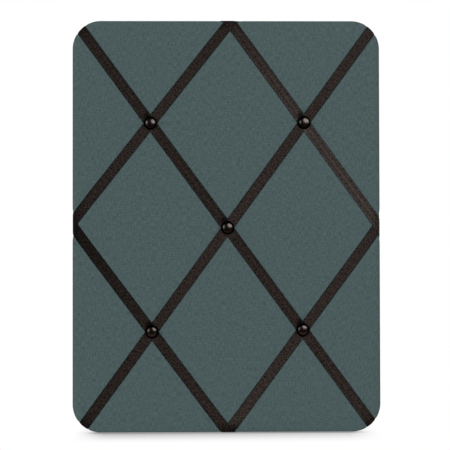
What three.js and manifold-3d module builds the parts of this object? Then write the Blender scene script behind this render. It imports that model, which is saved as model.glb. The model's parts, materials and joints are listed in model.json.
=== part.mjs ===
// A padded memo board: a fabric-covered panel laced with ribbons, which domed tacks hold at their crossings.
// Millimetres. The board stands upright: +Z is up, the front faces -Y and the back faces +Y.
// The origin is the middle of the back lining's outer face, which lies against the wall.

import * as THREE from "three";
import { mergeVertices } from "three/addons/utils/BufferGeometryUtils.js";
import Module from "manifold-3d";

const wasm = await Module();
wasm.setup();

// Panel
const boardWidth = 370;
const boardHeight = 495;
const cornerRadius = 34;
const coreThickness = 6;
const corkThickness = 3;
const battingThickness = 4; // at the top of the rolled edge
const edgeRollRun = 9; // how far in from the core's edge the batting rolls over
const crownRise = 0.8; // the batting's middle stands this much higher than its edge
const crownRun = 14; // the rise takes this distance
const fabricThickness = 0.7;
const hemWidth = 24; // fabric folded onto the back
const liningThickness = 1.5;
const liningInset = 8;

// Ribbons
const ribbonWidth = 13;
const ribbonThickness = 0.4;
const ribbonTail = 34; // from the board's edge to the ribbon's end, on the back
const rampLength = 10; // an upper ribbon climbs onto the lower one over this distance
const crossingMargin = 1.5; // it stays up this far past the crossing

// Domed tacks, and the tufts that they pull into the padding
const tackDiameter = 16;
const tackHeight = 5.5;
const tackWall = 0.9;
const nailDiameter = 1.8;
const nailPoint = 2.5;
const nailBite = 3.5; // depth of the nail in the core
const tuftRadius = 30;
const tuftDepth = 1.4;
const tuftOverrun = 0.7; // the ball that forms a tuft is cut off this far above the padding

// Staples
const stapleWire = 0.6;
const stapleWidth = 1.2;
const stapleEdge = 1.4; // from the staple's end to the ribbon's edge
const stapleBite = 4; // depth of the legs in the core
const ribbonStapleInset = 29; // from the board's edge, past the hem
const hemStapleInset = 15;
const hemStapleSpacingX = 184;
const hemStapleSpacingY = 248;

// Hangers
const hangerSpacing = 200;
const hangerDrop = 70; // from the board's top edge to the ring's bar
const strapWidth = 12;
const strapSheet = 0.8;
const strapHole = 8.5; // from the ring's bar down to the screw
const foldBend = 1.4; // mid-line radius of the bend that lays the fold flat
const foldAngle = THREE.MathUtils.degToRad(60);
const ringWire = 2.2;
const ringDepth = 23; // between the wire's mid-lines
const ringBend = 2.6;
const screwDiameter = 3;
const screwHeadDiameter = 6.4;
const screwHeadHeight = 1.9;
const screwBite = 4; // depth of the screw in the core
const screwSlot = 0.9;

// Clearances
const layerGap = 0.2; // between flat layers
const ribbonGap = 0.25; // between a ribbon and what it lies on
const tackSeat = 0.3; // between a tack's rim and the ribbon under it
const holeGap = 0.2; // round nails, screws and staple legs
const barGap = 0.3; // round the ring's bar in its fold
const barSideGap = 0.6; // between the strap's edge and the ring's bends
const foldSlit = 0.12; // between the strap's two layers
const fieldMargin = 20; // from the rings down to the plain field of the lining

// Facets
const cornerSteps = 6;
const rollSteps = 4;
const crownSteps = 2;
const backRollSteps = 1;
const tuftSides = 12;
const tuftSteps = 2;
const nailSides = 6;
const tackSides = 16;
const domeSteps = 5;
const wireSides = 8;
const screwSides = 12; // of the hangers' screws and their holes
const loopSteps = 12; // round the ring's bar
const bendSteps = 3;
const bowSteps = 12;
const searchSteps = 40; // halvings in the search for a ribbon's fold
const weldDistance = 1e-4; // vertices closer than this are one
const leastRadius = 0.5; // of an outline's corner

// Levels across the thickness: z is 0 on the lining's outer face and grows towards the front
const stapleAllowance = layerGap + stapleWire + layerGap;
const hemBack = liningThickness + stapleAllowance + ribbonThickness + ribbonGap;
const coreBack = hemBack + fabricThickness + layerGap;
const coreFront = coreBack + coreThickness;
const corkBack = coreFront + layerGap;
const padBack = corkBack + corkThickness + layerGap;
const padTop = padBack + battingThickness + crownRise;
const coreInset = fabricThickness + layerGap; // of the core, cork and batting from the board's outline
const rollInset = coreInset + edgeRollRun; // where the rolled edge begins
const fabricInside = layerGap; // offset of the fabric's inner face from the batting
const fabricOutside = layerGap + fabricThickness;

const materials = {
  fabric: finish(0x4b5b5b, 0.95, 0),
  ribbon: finish(0x292623, 0.7, 0),
  tack: finish(0x140d09, 0.18, 0.6),
  batting: finish(0xefebe2, 1, 0),
  cork: finish(0xb48a5a, 0.95, 0),
  core: finish(0xa98358, 0.85, 0),
  lining: finish(0x202124, 1, 0),
  steel: finish(0xb4b6b8, 0.35, 0.9),
};

function finish(color, roughness, metalness) {
  return new THREE.MeshStandardMaterial({ color, roughness, metalness });
}

// Geometry helpers

function toSolid(geometry) {
  const bare = new THREE.BufferGeometry();
  bare.setAttribute("position", geometry.getAttribute("position"));
  bare.setIndex(geometry.getIndex());
  const merged = mergeVertices(bare, weldDistance);
  const corners = merged.getIndex().array;
  const triangles = [];
  for (let i = 0; i < corners.length; i += 3) {
    const [a, b, c] = corners.slice(i, i + 3);
    if (a !== b && b !== c && c !== a) triangles.push(a, b, c);
  }
  return new wasm.Manifold(
    new wasm.Mesh({
      numProp: 3,
      vertProperties: Float32Array.from(merged.getAttribute("position").array),
      triVerts: Uint32Array.from(triangles),
    }),
  );
}

function toGeometry(solid) {
  const mesh = solid.getMesh();
  const geometry = new THREE.BufferGeometry();
  geometry.setAttribute("position", new THREE.BufferAttribute(mesh.vertProperties, 3));
  geometry.setIndex(new THREE.BufferAttribute(mesh.triVerts, 1));
  geometry.computeVertexNormals();
  return geometry;
}

function without(solid, cutters) {
  return cutters.reduce((rest, cutter) => rest.subtract(cutter), solid);
}

// A closed body through sections of equal size, each counter-clockwise seen from the next one.
function loft(sections, closed = false) {
  const size = sections[0].length;
  const index = [];
  const spans = closed ? sections.length : sections.length - 1;
  for (let i = 0; i < spans; i++) {
    const next = ((i + 1) % sections.length) * size;
    for (let j = 0; j < size; j++) {
      const k = (j + 1) % size;
      index.push(i * size + j, i * size + k, next + k);
      index.push(i * size + j, next + k, next + j);
    }
  }
  const last = (sections.length - 1) * size;
  for (let j = 1; j < size - 1 && !closed; j++) {
    index.push(0, j + 1, j);
    index.push(last, last + j, last + j + 1);
  }
  const geometry = new THREE.BufferGeometry();
  geometry.setFromPoints(sections.flat());
  geometry.setIndex(index);
  return geometry;
}

function lathe(profile, sides) {
  const points = profile.map(([radius, height]) => new THREE.Vector2(radius, height));
  return new THREE.LatheGeometry(points, sides).rotateX(Math.PI / 2);
}

function pin(at, diameter, bottom, top, sides) {
  const radius = diameter / 2;
  const geometry = new THREE.CylinderGeometry(radius, radius, top - bottom, sides).rotateX(Math.PI / 2);
  return toSolid(geometry.translate(at.x, at.y, (top + bottom) / 2));
}

// The board's rounded rectangle, moved inwards, as a counter-clockwise ring.
function outline(inset, z = 0) {
  const radius = Math.max(cornerRadius - inset, leastRadius);
  const centerX = boardWidth / 2 - inset - radius;
  const centerY = boardHeight / 2 - inset - radius;
  const signs = [[1, 1], [-1, 1], [-1, -1], [1, -1]];
  return signs.flatMap(([signX, signY], quarter) =>
    Array.from({ length: cornerSteps + 1 }, (_, step) => {
      const angle = (Math.PI / 2) * (quarter + step / cornerSteps);
      const x = signX * centerX + radius * Math.cos(angle);
      return new THREE.Vector3(x, signY * centerY + radius * Math.sin(angle), z);
    }),
  );
}

// Distance of a plan point outside the board's outline, negative inside, with the outward direction.
function fromOutline(point) {
  const overX = Math.abs(point.x) - (boardWidth / 2 - cornerRadius);
  const overY = Math.abs(point.y) - (boardHeight / 2 - cornerRadius);
  const outward = new THREE.Vector2(Math.max(overX, 0), Math.max(overY, 0));
  const distance = outward.length() + Math.min(Math.max(overX, overY), 0) - cornerRadius;
  if (outward.length() === 0) outward.set(overX > overY ? 1 : 0, overX > overY ? 0 : 1);
  outward.set(Math.sign(point.x) * outward.x, Math.sign(point.y) * outward.y).normalize();
  return { distance, outward };
}

function slab(inset, bottom, top) {
  return toSolid(loft([outline(inset, bottom), outline(inset, top)]));
}

// The padded form

function crownShape(share) {
  return share * share * (3 - 2 * share);
}

// Section of the padding's front edge at an offset out from the batting, from its foot to its crown.
function padEdge(offset) {
  const points = [];
  for (let step = 0; step <= rollSteps; step++) {
    const angle = (Math.PI / 2) * (step / rollSteps);
    const inset = coreInset - offset + (edgeRollRun + offset) * (1 - Math.cos(angle));
    points.push({ inset, z: padBack + (battingThickness + offset) * Math.sin(angle) });
  }
  for (let step = 1; step <= crownSteps; step++) {
    const share = step / crownSteps;
    const rise = crownRise * crownShape(share);
    points.push({ inset: rollInset + crownRun * share, z: padBack + battingThickness + offset + rise });
  }
  return points;
}

// Section of the fabric's back edge at an offset out from the batting, from the hem to the side.
function hemEdge(offset) {
  const radius = offset - fabricInside;
  const points = [];
  for (let step = 0; step <= backRollSteps; step++) {
    const angle = (Math.PI / 2) * (step / backRollSteps);
    const inset = fabricThickness - radius * Math.sin(angle);
    points.push({ inset, z: hemBack + fabricThickness - radius * Math.cos(angle) });
  }
  return points;
}

const tuftSphere = (tuftRadius ** 2 + tuftDepth ** 2) / (2 * tuftDepth);

function tuftDrop(point) {
  const reach = Math.min(...tacks.map((tack) => tack.at.distanceTo(point)));
  if (reach >= tuftRadius) return 0;
  return Math.sqrt(tuftSphere ** 2 - reach ** 2) - (tuftSphere - tuftDepth);
}

// The ball that presses a tuft into the padding, cut off above the padding's face.
function tuftBall(at, offset) {
  const radius = tuftSphere - offset;
  const center = padTop - tuftDepth + tuftSphere;
  const steepest = Math.acos((tuftSphere - tuftDepth - tuftOverrun) / tuftSphere);
  const profile = [];
  for (let step = 0; step <= tuftSteps; step++) {
    const angle = steepest * (step / tuftSteps);
    profile.push([radius * Math.sin(angle), center - radius * Math.cos(angle)]);
  }
  profile.push([0, profile[tuftSteps][1]]);
  return toSolid(lathe(profile, tuftSides).translate(at.x, at.y, 0));
}

// The padded board's whole form at an offset out from the batting, standing on the given back edge.
function paddedForm(offset, backEdge) {
  const rings = [...backEdge, ...padEdge(offset)].map(({ inset, z }) => outline(inset, z));
  return without(toSolid(loft(rings)), tacks.map((tack) => tuftBall(tack.at, offset)));
}

// Ribbons, tacks and staples: where they lie

const sides = { right: 1, left: -1 };
const levels = { top: 1, bottom: -1 };
const halfway = 0; // between two sides or two levels

// A mark on the board's edge. Its drift runs along the top or bottom edge or, halfway up, along the side.
function mark(side, level, drift) {
  const point = new THREE.Vector2((side * boardWidth) / 2, (level * boardHeight) / 2);
  if (level === halfway) point.y += drift;
  else point.x += drift;
  return point;
}

// The ribbons were laid by hand, so each end has drifted a little from its corner or middle.
// Falling ribbons run down to the right, and lie over the rising ones.
const fallingLong = {
  name: "ribbon_falling_long",
  from: mark(sides.left, levels.top, 2.6),
  to: mark(sides.right, levels.bottom, -3.7),
  over: true,
};
const risingLong = {
  name: "ribbon_rising_long",
  from: mark(sides.right, levels.top, -1.6),
  to: mark(sides.left, levels.bottom, 7.3),
};
const upperLeft = {
  name: "ribbon_rising_upper_left",
  from: mark(halfway, levels.top, 6.8),
  to: mark(sides.left, halfway, 4.9),
};
const upperRight = {
  name: "ribbon_falling_upper_right",
  from: mark(halfway, levels.top, 3.3),
  to: mark(sides.right, halfway, -1.5),
  over: true,
};
const lowerLeft = {
  name: "ribbon_falling_lower_left",
  from: mark(sides.left, halfway, 0.3),
  to: mark(halfway, levels.bottom, 1.3),
  over: true,
};
const lowerRight = {
  name: "ribbon_rising_lower_right",
  from: mark(sides.right, halfway, 2.1),
  to: mark(halfway, levels.bottom, 0.9),
};
const ribbons = [risingLong, upperLeft, lowerRight, fallingLong, upperRight, lowerLeft];

for (const ribbon of ribbons) {
  ribbon.run = ribbon.to.clone().sub(ribbon.from).normalize();
  ribbon.side = new THREE.Vector2(-ribbon.run.y, ribbon.run.x);
  ribbon.length = ribbon.to.distanceTo(ribbon.from);
}

function stationOf(ribbon, point) {
  return point.clone().sub(ribbon.from).dot(ribbon.run);
}

function pointOn(ribbon, station, across = 0) {
  return ribbon.from.clone().addScaledVector(ribbon.run, station).addScaledVector(ribbon.side, across);
}

function crossing(one, other) {
  const apart = other.from.clone().sub(one.from);
  return pointOn(one, apart.cross(other.run) / one.run.cross(other.run));
}

const tacks = [
  { name: "tack_upper_left", pair: [fallingLong, upperLeft] },
  { name: "tack_upper_right", pair: [upperRight, risingLong] },
  { name: "tack_middle", pair: [fallingLong, risingLong] },
  { name: "tack_lower_left", pair: [lowerLeft, risingLong] },
  { name: "tack_lower_right", pair: [fallingLong, lowerRight] },
];
for (const tack of tacks) {
  tack.at = crossing(...tack.pair);
}

// Half the length of the diamond that two ribbons share, from where their mid-lines cross.
function diamondReach(one, other) {
  const cosine = Math.abs(one.run.dot(other.run));
  return ((ribbonWidth / 2) * (1 + cosine)) / Math.sqrt(1 - cosine * cosine);
}

// How far a ribbon is lifted off the fabric at a station, to pass over the ribbons that it crosses.
function liftAt(ribbon, station) {
  if (!ribbon.over) return 0;
  const lifts = ribbons.filter((other) => !other.over).map((other) => {
    const away = Math.abs(station - stationOf(ribbon, crossing(ribbon, other)));
    const climb = (away - diamondReach(ribbon, other) - crossingMargin) / rampLength;
    return 1 - THREE.MathUtils.clamp(climb, 0, 1);
  });
  return Math.max(...lifts) * (ribbonThickness + ribbonGap);
}

// The route over the board's edge at an offset, from the crown round to the ribbon's end on the back.
function edgeRoute(offset) {
  const hem = hemEdge(offset).reverse();
  const tail = { inset: ribbonTail, z: hem[backRollSteps].z };
  return [...padEdge(offset).reverse(), ...hem, tail];
}

const hemStop = rollSteps + crownSteps + backRollSteps + 1; // where that route reaches the hem

// Distance along that route, counted from the board's outline as if the edge were laid flat.
function routeLengths() {
  const route = edgeRoute(fabricOutside + ribbonGap);
  const lengths = [-route[0].inset];
  for (let i = 1; i < route.length; i++) {
    const step = Math.hypot(route[i].inset - route[i - 1].inset, route[i].z - route[i - 1].z);
    lengths.push(lengths[i - 1] + step);
  }
  return lengths;
}

// Where a line along a ribbon leaves the board's outline at one end, and the direction straight out there.
function foldAt(ribbon, end, across = 0) {
  const outside = stationOf(ribbon, end);
  const bounds = [ribbon.length / 2, outside + (outside > 0 ? cornerRadius : -cornerRadius)];
  for (let i = 0; i < searchSteps; i++) {
    const middle = (bounds[0] + bounds[1]) / 2;
    bounds[fromOutline(pointOn(ribbon, middle, across)).distance < 0 ? 0 : 1] = middle;
  }
  const point = pointOn(ribbon, bounds[0], across);
  return { station: bounds[0], point, outward: fromOutline(point).outward };
}

// A point of the ribbon at a length past a fold, with the ribbon laid flat, moved back to the fold line.
function flatPoint(ribbon, fold, length, across) {
  const lean = pointOn(ribbon, fold.station, across).sub(fold.point).dot(fold.outward);
  const station = fold.station + (length - lean) / ribbon.run.dot(fold.outward);
  const base = pointOn(ribbon, station, across).addScaledVector(fold.outward, -length);
  return { station, base };
}

// Each line along the ribbon folds where it meets the edge, and on the back the ribbon runs straight again.
function foldedPoint(ribbon, end, stop, across, height) {
  const onBack = stop >= hemStop;
  const fold = foldAt(ribbon, end, onBack ? 0 : across);
  const { station, base } = flatPoint(ribbon, fold, routeLengths()[stop], across);
  const { inset, z } = edgeRoute(fabricOutside + height + liftAt(ribbon, station))[stop];
  const plan = base.addScaledVector(fold.outward, -inset);
  return new THREE.Vector3(plan.x, plan.y, z);
}

function frontPoint(ribbon, station, across, height) {
  const plan = pointOn(ribbon, station, across);
  const level = padTop + fabricOutside + height + liftAt(ribbon, station);
  return new THREE.Vector3(plan.x, plan.y, level - tuftDrop(plan));
}

// Stations that a ribbon needs to follow each tuft and to climb over each crossing.
function frontStations(ribbon) {
  const stations = [];
  for (const tack of tacks.filter(({ pair }) => pair.includes(ribbon))) {
    const middle = stationOf(ribbon, tack.at);
    const flat = diamondReach(...tack.pair) + crossingMargin;
    const steps = [flat, flat + rampLength, tuftRadius];
    stations.push(middle, ...steps.flatMap((step) => [middle - step, middle + step]));
  }
  return stations.sort((a, b) => a - b);
}

// One ribbon: over the edge, across the front and over the edge again, with its section in three columns.
function ribbonSolid(ribbon) {
  const half = ribbonWidth / 2;
  const [under, above] = [ribbonGap, ribbonGap + ribbonThickness];
  const corners = [[half, under], [half, above], [0, above], [-half, above], [-half, under], [0, under]];
  const section = (place) => corners.map(([across, height]) => place(across, height));
  const folded = (end) => routeLengths().map((_, stop) => {
    return section((across, height) => foldedPoint(ribbon, end, stop, across, height));
  });
  const front = frontStations(ribbon).map((station) => {
    return section((across, height) => frontPoint(ribbon, station, across, height));
  });
  return toSolid(loft([...folded(ribbon.from).reverse(), ...front, ...folded(ribbon.to)]));
}

// Staples: a crown across the back of what it holds and two legs into the core

const stapleSpan = ribbonWidth - 2 * stapleEdge;
const legTop = coreBack + stapleBite;

function stapleGeometry(crownBack) {
  const half = stapleSpan / 2;
  const inner = half - stapleWire;
  const shape = new THREE.Shape();
  shape.moveTo(-half, crownBack);
  shape.lineTo(half, crownBack);
  shape.lineTo(half, legTop);
  shape.lineTo(inner, legTop);
  shape.lineTo(inner, crownBack + stapleWire);
  shape.lineTo(-inner, crownBack + stapleWire);
  shape.lineTo(-inner, legTop);
  shape.lineTo(-half, legTop);
  const geometry = new THREE.ExtrudeGeometry(shape, { depth: stapleWidth, bevelEnabled: false });
  return geometry.translate(0, 0, -stapleWidth / 2).rotateX(Math.PI / 2);
}

// The holes that a staple's legs need, from the back face to just past their ends.
function legHoles({ at, angle }) {
  const reach = legTop + holeGap;
  return [-1, 1].map((side) => {
    const hole = new THREE.BoxGeometry(stapleWire + 2 * holeGap, stapleWidth + 2 * holeGap, reach);
    hole.translate((side * (stapleSpan - stapleWire)) / 2, 0, reach / 2);
    return toSolid(hole.rotateZ(angle).translate(at.x, at.y, 0));
  });
}

const ribbonStapleBack = hemBack - ribbonGap - ribbonThickness - layerGap - stapleWire;
const hemStapleBack = hemBack - layerGap - stapleWire;

function ribbonStaple(ribbon, end, place) {
  const fold = foldAt(ribbon, end);
  const route = edgeRoute(fabricOutside + ribbonGap);
  const length = routeLengths()[hemStop] + ribbonStapleInset - route[hemStop].inset;
  const { base } = flatPoint(ribbon, fold, length, 0);
  const at = base.addScaledVector(fold.outward, -ribbonStapleInset);
  const back = ribbon.run.clone().addScaledVector(fold.outward, -2 * ribbon.run.dot(fold.outward));
  return { name: `${ribbon.name}_staple_${place}`, at, angle: back.angle() + Math.PI / 2, ribbon };
}

const ribbonStaples = ribbons.flatMap((ribbon) => [
  ribbonStaple(ribbon, ribbon.from, "upper"),
  ribbonStaple(ribbon, ribbon.to, "lower"),
]);

const hemStaples = Object.entries(levels).flatMap(([level, up]) =>
  Object.entries(sides).flatMap(([side, right]) => {
    const alongX = (right * hemStapleSpacingX) / 2;
    const alongY = (up * hemStapleSpacingY) / 2;
    const edgeX = right * (boardWidth / 2 - hemStapleInset);
    const edgeY = up * (boardHeight / 2 - hemStapleInset);
    return [
      { name: `hem_staple_${level}_${side}`, at: new THREE.Vector2(alongX, edgeY), angle: 0 },
      { name: `hem_staple_${side}_${level}`, at: new THREE.Vector2(edgeX, alongY), angle: Math.PI / 2 },
    ];
  }),
);

// Domed tack: a hollow head on a nail, turned about its own axis, with its rim at height 0

const rimLevel = padTop - tuftDepth + fabricOutside + 2 * (ribbonGap + ribbonThickness) + tackSeat;
const nailTip = coreFront - nailBite;

function tackGeometry() {
  const radius = tackDiameter / 2;
  const nailRadius = nailDiameter / 2;
  const innerHeight = tackHeight - tackWall;
  const neck = Math.asin(nailRadius / (radius - tackWall));
  const profile = [[0, nailTip - rimLevel], [nailRadius, nailTip - rimLevel + nailPoint]];
  for (let step = 0; step <= domeSteps; step++) {
    const angle = neck + (Math.PI / 2 - neck) * (step / domeSteps);
    profile.push([(radius - tackWall) * Math.sin(angle), innerHeight * Math.cos(angle)]);
  }
  for (let step = 0; step <= domeSteps; step++) {
    const angle = (Math.PI / 2) * (1 - step / domeSteps);
    profile.push([radius * Math.sin(angle), tackHeight * Math.cos(angle)]);
  }
  return lathe(profile, tackSides);
}

const nailHoles = tacks.map(({ at }) => {
  return pin(at, nailDiameter + 2 * holeGap, nailTip - holeGap, rimLevel, nailSides);
});

// Hanger: a strap folded round the ring's bar, with the bar's axis as the local origin

const loopRadius = ringWire / 2 + barGap;
const loopMiddle = loopRadius + strapSheet / 2;
const barLevel = -(layerGap + loopRadius + strapSheet);
const strapOuter = barLevel + loopMiddle - strapSheet * 1.5 - foldSlit;

// The sheet's mid-line from the tail on the lining, round the bar and back onto itself, as [y, z] pairs
// with the direction square to the sheet.
function strapMidline() {
  const tail = -(strapHole + strapWidth);
  const line = [{ y: tail, z: loopMiddle, turn: Math.PI / 2 }];
  const loopEnd = -Math.PI / 2 - foldAngle;
  for (let step = 0; step <= loopSteps; step++) {
    const turn = Math.PI / 2 + (loopEnd - Math.PI / 2) * (step / loopSteps);
    line.push({ y: loopMiddle * Math.cos(turn), z: loopMiddle * Math.sin(turn), turn });
  }
  const flatLevel = loopMiddle - strapSheet - foldSlit;
  const bendRise = foldBend * (1 - Math.cos(foldAngle));
  const slope = (flatLevel + loopMiddle * Math.cos(foldAngle) - bendRise) / Math.sin(foldAngle);
  const bendY = -loopMiddle * Math.sin(foldAngle) - slope * Math.cos(foldAngle);
  for (let step = 0; step <= bendSteps; step++) {
    const angle = foldAngle * (1 - step / bendSteps);
    const y = bendY - foldBend * (Math.sin(foldAngle) - Math.sin(angle));
    const z = flatLevel - foldBend * (1 - Math.cos(angle));
    line.push({ y, z, turn: -Math.PI / 2 - angle });
  }
  line.push({ y: tail, z: flatLevel, turn: -Math.PI / 2 });
  return line;
}

function strapGeometry() {
  const line = strapMidline();
  const face = (side) => line.map(({ y, z, turn }) => {
    const shift = (side * strapSheet) / 2;
    return new THREE.Vector2(y + shift * Math.cos(turn), z + shift * Math.sin(turn));
  });
  const section = new THREE.Shape([...face(-1), ...face(1).reverse()]);
  const sheet = new THREE.ExtrudeGeometry(section, { depth: strapWidth, bevelEnabled: false });
  sheet.translate(0, 0, -strapWidth / 2);
  const turned = new THREE.Matrix4().makeBasis(
    new THREE.Vector3(0, 1, 0),
    new THREE.Vector3(0, 0, 1),
    new THREE.Vector3(1, 0, 0),
  );
  sheet.applyMatrix4(turned);
  const plan = new THREE.Shape();
  const depth = 4 * (loopRadius + strapSheet);
  plan.moveTo(strapWidth, loopMiddle + strapSheet);
  plan.lineTo(-strapWidth, loopMiddle + strapSheet);
  plan.lineTo(-strapWidth, -strapHole);
  plan.lineTo(-strapWidth / 2, -strapHole);
  plan.absarc(0, -strapHole, strapWidth / 2, Math.PI, 2 * Math.PI, false);
  plan.lineTo(strapWidth, -strapHole);
  const blank = new THREE.ExtrudeGeometry(plan, { depth, bevelEnabled: false, curveSegments: screwSides });
  const cut = toSolid(sheet).intersect(toSolid(blank.translate(0, 0, -depth / 2)));
  const holeAt = new THREE.Vector2(0, -strapHole);
  return toGeometry(cut.subtract(pin(holeAt, screwDiameter + 2 * holeGap, -depth, depth, screwSides)));
}

// D-ring hanging from its bar: the bar, two bends and a bow, as points with their directions
function ringGeometry() {
  const barHalf = strapWidth / 2 + barSideGap;
  const halfWidth = barHalf + ringBend;
  const bowDepth = ringDepth - ringBend;
  const stations = [];
  for (let step = 0; step <= bendSteps; step++) {
    const angle = (Math.PI / 2) * (1 - step / bendSteps);
    stations.push({
      at: new THREE.Vector3(barHalf + ringBend * Math.cos(angle), ringBend * (Math.sin(angle) - 1), 0),
      out: new THREE.Vector3(Math.cos(angle), Math.sin(angle), 0),
    });
  }
  for (let step = 1; step < bowSteps; step++) {
    const angle = -Math.PI * (step / bowSteps);
    stations.push({
      at: new THREE.Vector3(halfWidth * Math.cos(angle), bowDepth * Math.sin(angle) - ringBend, 0),
      out: new THREE.Vector3(bowDepth * Math.cos(angle), halfWidth * Math.sin(angle), 0).normalize(),
    });
  }
  for (let step = 0; step <= bendSteps; step++) {
    const angle = Math.PI - (Math.PI / 2) * (step / bendSteps);
    stations.push({
      at: new THREE.Vector3(-barHalf + ringBend * Math.cos(angle), ringBend * (Math.sin(angle) - 1), 0),
      out: new THREE.Vector3(Math.cos(angle), Math.sin(angle), 0),
    });
  }
  const sections = stations.map(({ at, out }) =>
    Array.from({ length: wireSides }, (_, side) => {
      const angle = (2 * Math.PI * side) / wireSides;
      const point = at.clone().addScaledVector(out, (ringWire / 2) * Math.cos(angle));
      return point.setZ((ringWire / 2) * Math.sin(angle));
    }),
  );
  return loft(sections, true);
}

// Round-headed slotted screw, head down at the strap and point up in the core, with the head's seat at 0
function screwGeometry() {
  const radius = screwDiameter / 2;
  const headRadius = screwHeadDiameter / 2;
  const length = coreBack + screwBite - (strapOuter - layerGap);
  const profile = [[0, -screwHeadHeight]];
  for (let step = 1; step <= domeSteps; step++) {
    const angle = (Math.PI / 2) * (step / domeSteps);
    profile.push([headRadius * Math.sin(angle), -screwHeadHeight * Math.cos(angle)]);
  }
  profile.push([radius, 0], [radius, length - radius], [0, length]);
  const slot = new THREE.BoxGeometry(2 * screwHeadDiameter, screwSlot, screwHeadHeight);
  slot.translate(0, 0, -screwHeadHeight);
  return toGeometry(toSolid(lathe(profile, screwSides)).subtract(toSolid(slot)));
}

const hangerLevel = boardHeight / 2 - hangerDrop;
const hangers = Object.entries(sides).map(([side, right]) => {
  return { side, at: new THREE.Vector2((right * hangerSpacing) / 2, hangerLevel) };
});
const screwPlaces = hangers.map(({ at }) => new THREE.Vector2(at.x, at.y - strapHole));
const screwHoles = screwPlaces.map((at) => {
  return pin(at, screwDiameter + 2 * holeGap, 0, coreBack + screwBite + holeGap, screwSides);
});

// Back lining: an upper field with the screw holes and a plain lower field, meeting on one line
function liningGeometry() {
  const split = hangerLevel - ringDepth - fieldMargin;
  const ring = outline(liningInset).map(({ x, y }) => new THREE.Vector2(x, y));
  const half = ring.length / 2;
  const edge = boardWidth / 2 - liningInset;
  const [right, left] = [new THREE.Vector2(edge, split), new THREE.Vector2(-edge, split)];
  const holes = screwPlaces.map((at) => {
    const radius = screwDiameter / 2 + holeGap;
    return new THREE.EllipseCurve(at.x, at.y, radius, radius).getPoints(screwSides).slice(1);
  });
  const fields = [
    { contour: [right, ...ring.slice(0, half), left], holes },
    { contour: [left, ...ring.slice(half), right], holes: [] },
  ];
  const points = [];
  const put = (z, ...flat) => points.push(...flat.map(({ x, y }) => new THREE.Vector3(x, y, z)));
  for (const { contour, holes: cuts } of fields) {
    const flat = [contour, ...cuts].flat();
    for (const [a, b, c] of THREE.ShapeUtils.triangulateShape(contour, cuts)) {
      put(0, flat[a], flat[c], flat[b]);
      put(liningThickness, flat[a], flat[b], flat[c]);
    }
  }
  const loops = [[right, ...ring.slice(0, half), left, ...ring.slice(half)]];
  loops.push(...holes.map((hole) => [...hole].reverse()));
  for (const loop of loops) {
    loop.forEach((a, i) => {
      const b = loop[(i + 1) % loop.length];
      put(0, a, b);
      put(liningThickness, b);
      put(0, a);
      put(liningThickness, b, a);
    });
  }
  return mergeVertices(new THREE.BufferGeometry().setFromPoints(points));
}

// Assembly

const board = new THREE.Group();
board.rotation.x = Math.PI / 2;

function addPiece(name, geometry, material, parent = board) {
  const mesh = new THREE.Mesh(geometry, material);
  mesh.name = name;
  parent.add(mesh);
  return mesh;
}

const legCuts = [...ribbonStaples, ...hemStaples].flatMap(legHoles);
const core = without(slab(coreInset, coreBack, coreFront), [...nailHoles, ...legCuts, ...screwHoles]);
addPiece("core_board", toGeometry(core), materials.core);

const cork = without(slab(coreInset, corkBack, corkBack + corkThickness), nailHoles);
addPiece("cork_sheet", toGeometry(cork), materials.cork);

const batting = without(paddedForm(0, []), nailHoles);
addPiece("batting_pad", toGeometry(batting), materials.batting);

const hollow = paddedForm(fabricInside, [{ inset: fabricThickness, z: hemBack + fabricThickness }]);
const hemOpening = slab(hemWidth, 0, coreBack);
const cover = without(paddedForm(fabricOutside, hemEdge(fabricOutside)), [hollow, hemOpening]);
addPiece("fabric_cover", toGeometry(without(cover, [...nailHoles, ...legCuts])), materials.fabric);

for (const ribbon of ribbons) {
  const holes = ribbonStaples.filter((staple) => staple.ribbon === ribbon).flatMap(legHoles);
  const nails = nailHoles.filter((_, i) => tacks[i].pair.includes(ribbon));
  addPiece(ribbon.name, toGeometry(without(ribbonSolid(ribbon), [...holes, ...nails])), materials.ribbon);
}

for (const { name, at } of tacks) {
  addPiece(name, toGeometry(toSolid(tackGeometry())), materials.tack).position.set(at.x, at.y, rimLevel);
}

for (const { name, at, angle, ribbon } of [...ribbonStaples, ...hemStaples]) {
  const crownBack = ribbon ? ribbonStapleBack : hemStapleBack;
  const staple = addPiece(name, stapleGeometry(crownBack), materials.steel);
  staple.position.set(at.x, at.y, 0);
  staple.rotation.z = angle;
}

addPiece("back_lining", liningGeometry(), materials.lining);

for (const { side, at } of hangers) {
  const hanger = new THREE.Group();
  hanger.position.set(at.x, at.y, barLevel);
  board.add(hanger);
  addPiece(`hanger_strap_${side}`, strapGeometry(), materials.steel, hanger);
  addPiece(`hanger_ring_${side}`, ringGeometry(), materials.steel, hanger);
  const screw = addPiece(`hanger_screw_${side}`, screwGeometry(), materials.steel, hanger);
  screw.position.set(0, -strapHole, strapOuter - layerGap - barLevel);
}

const assembly = new THREE.Group();
assembly.add(board);

export default assembly;
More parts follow.
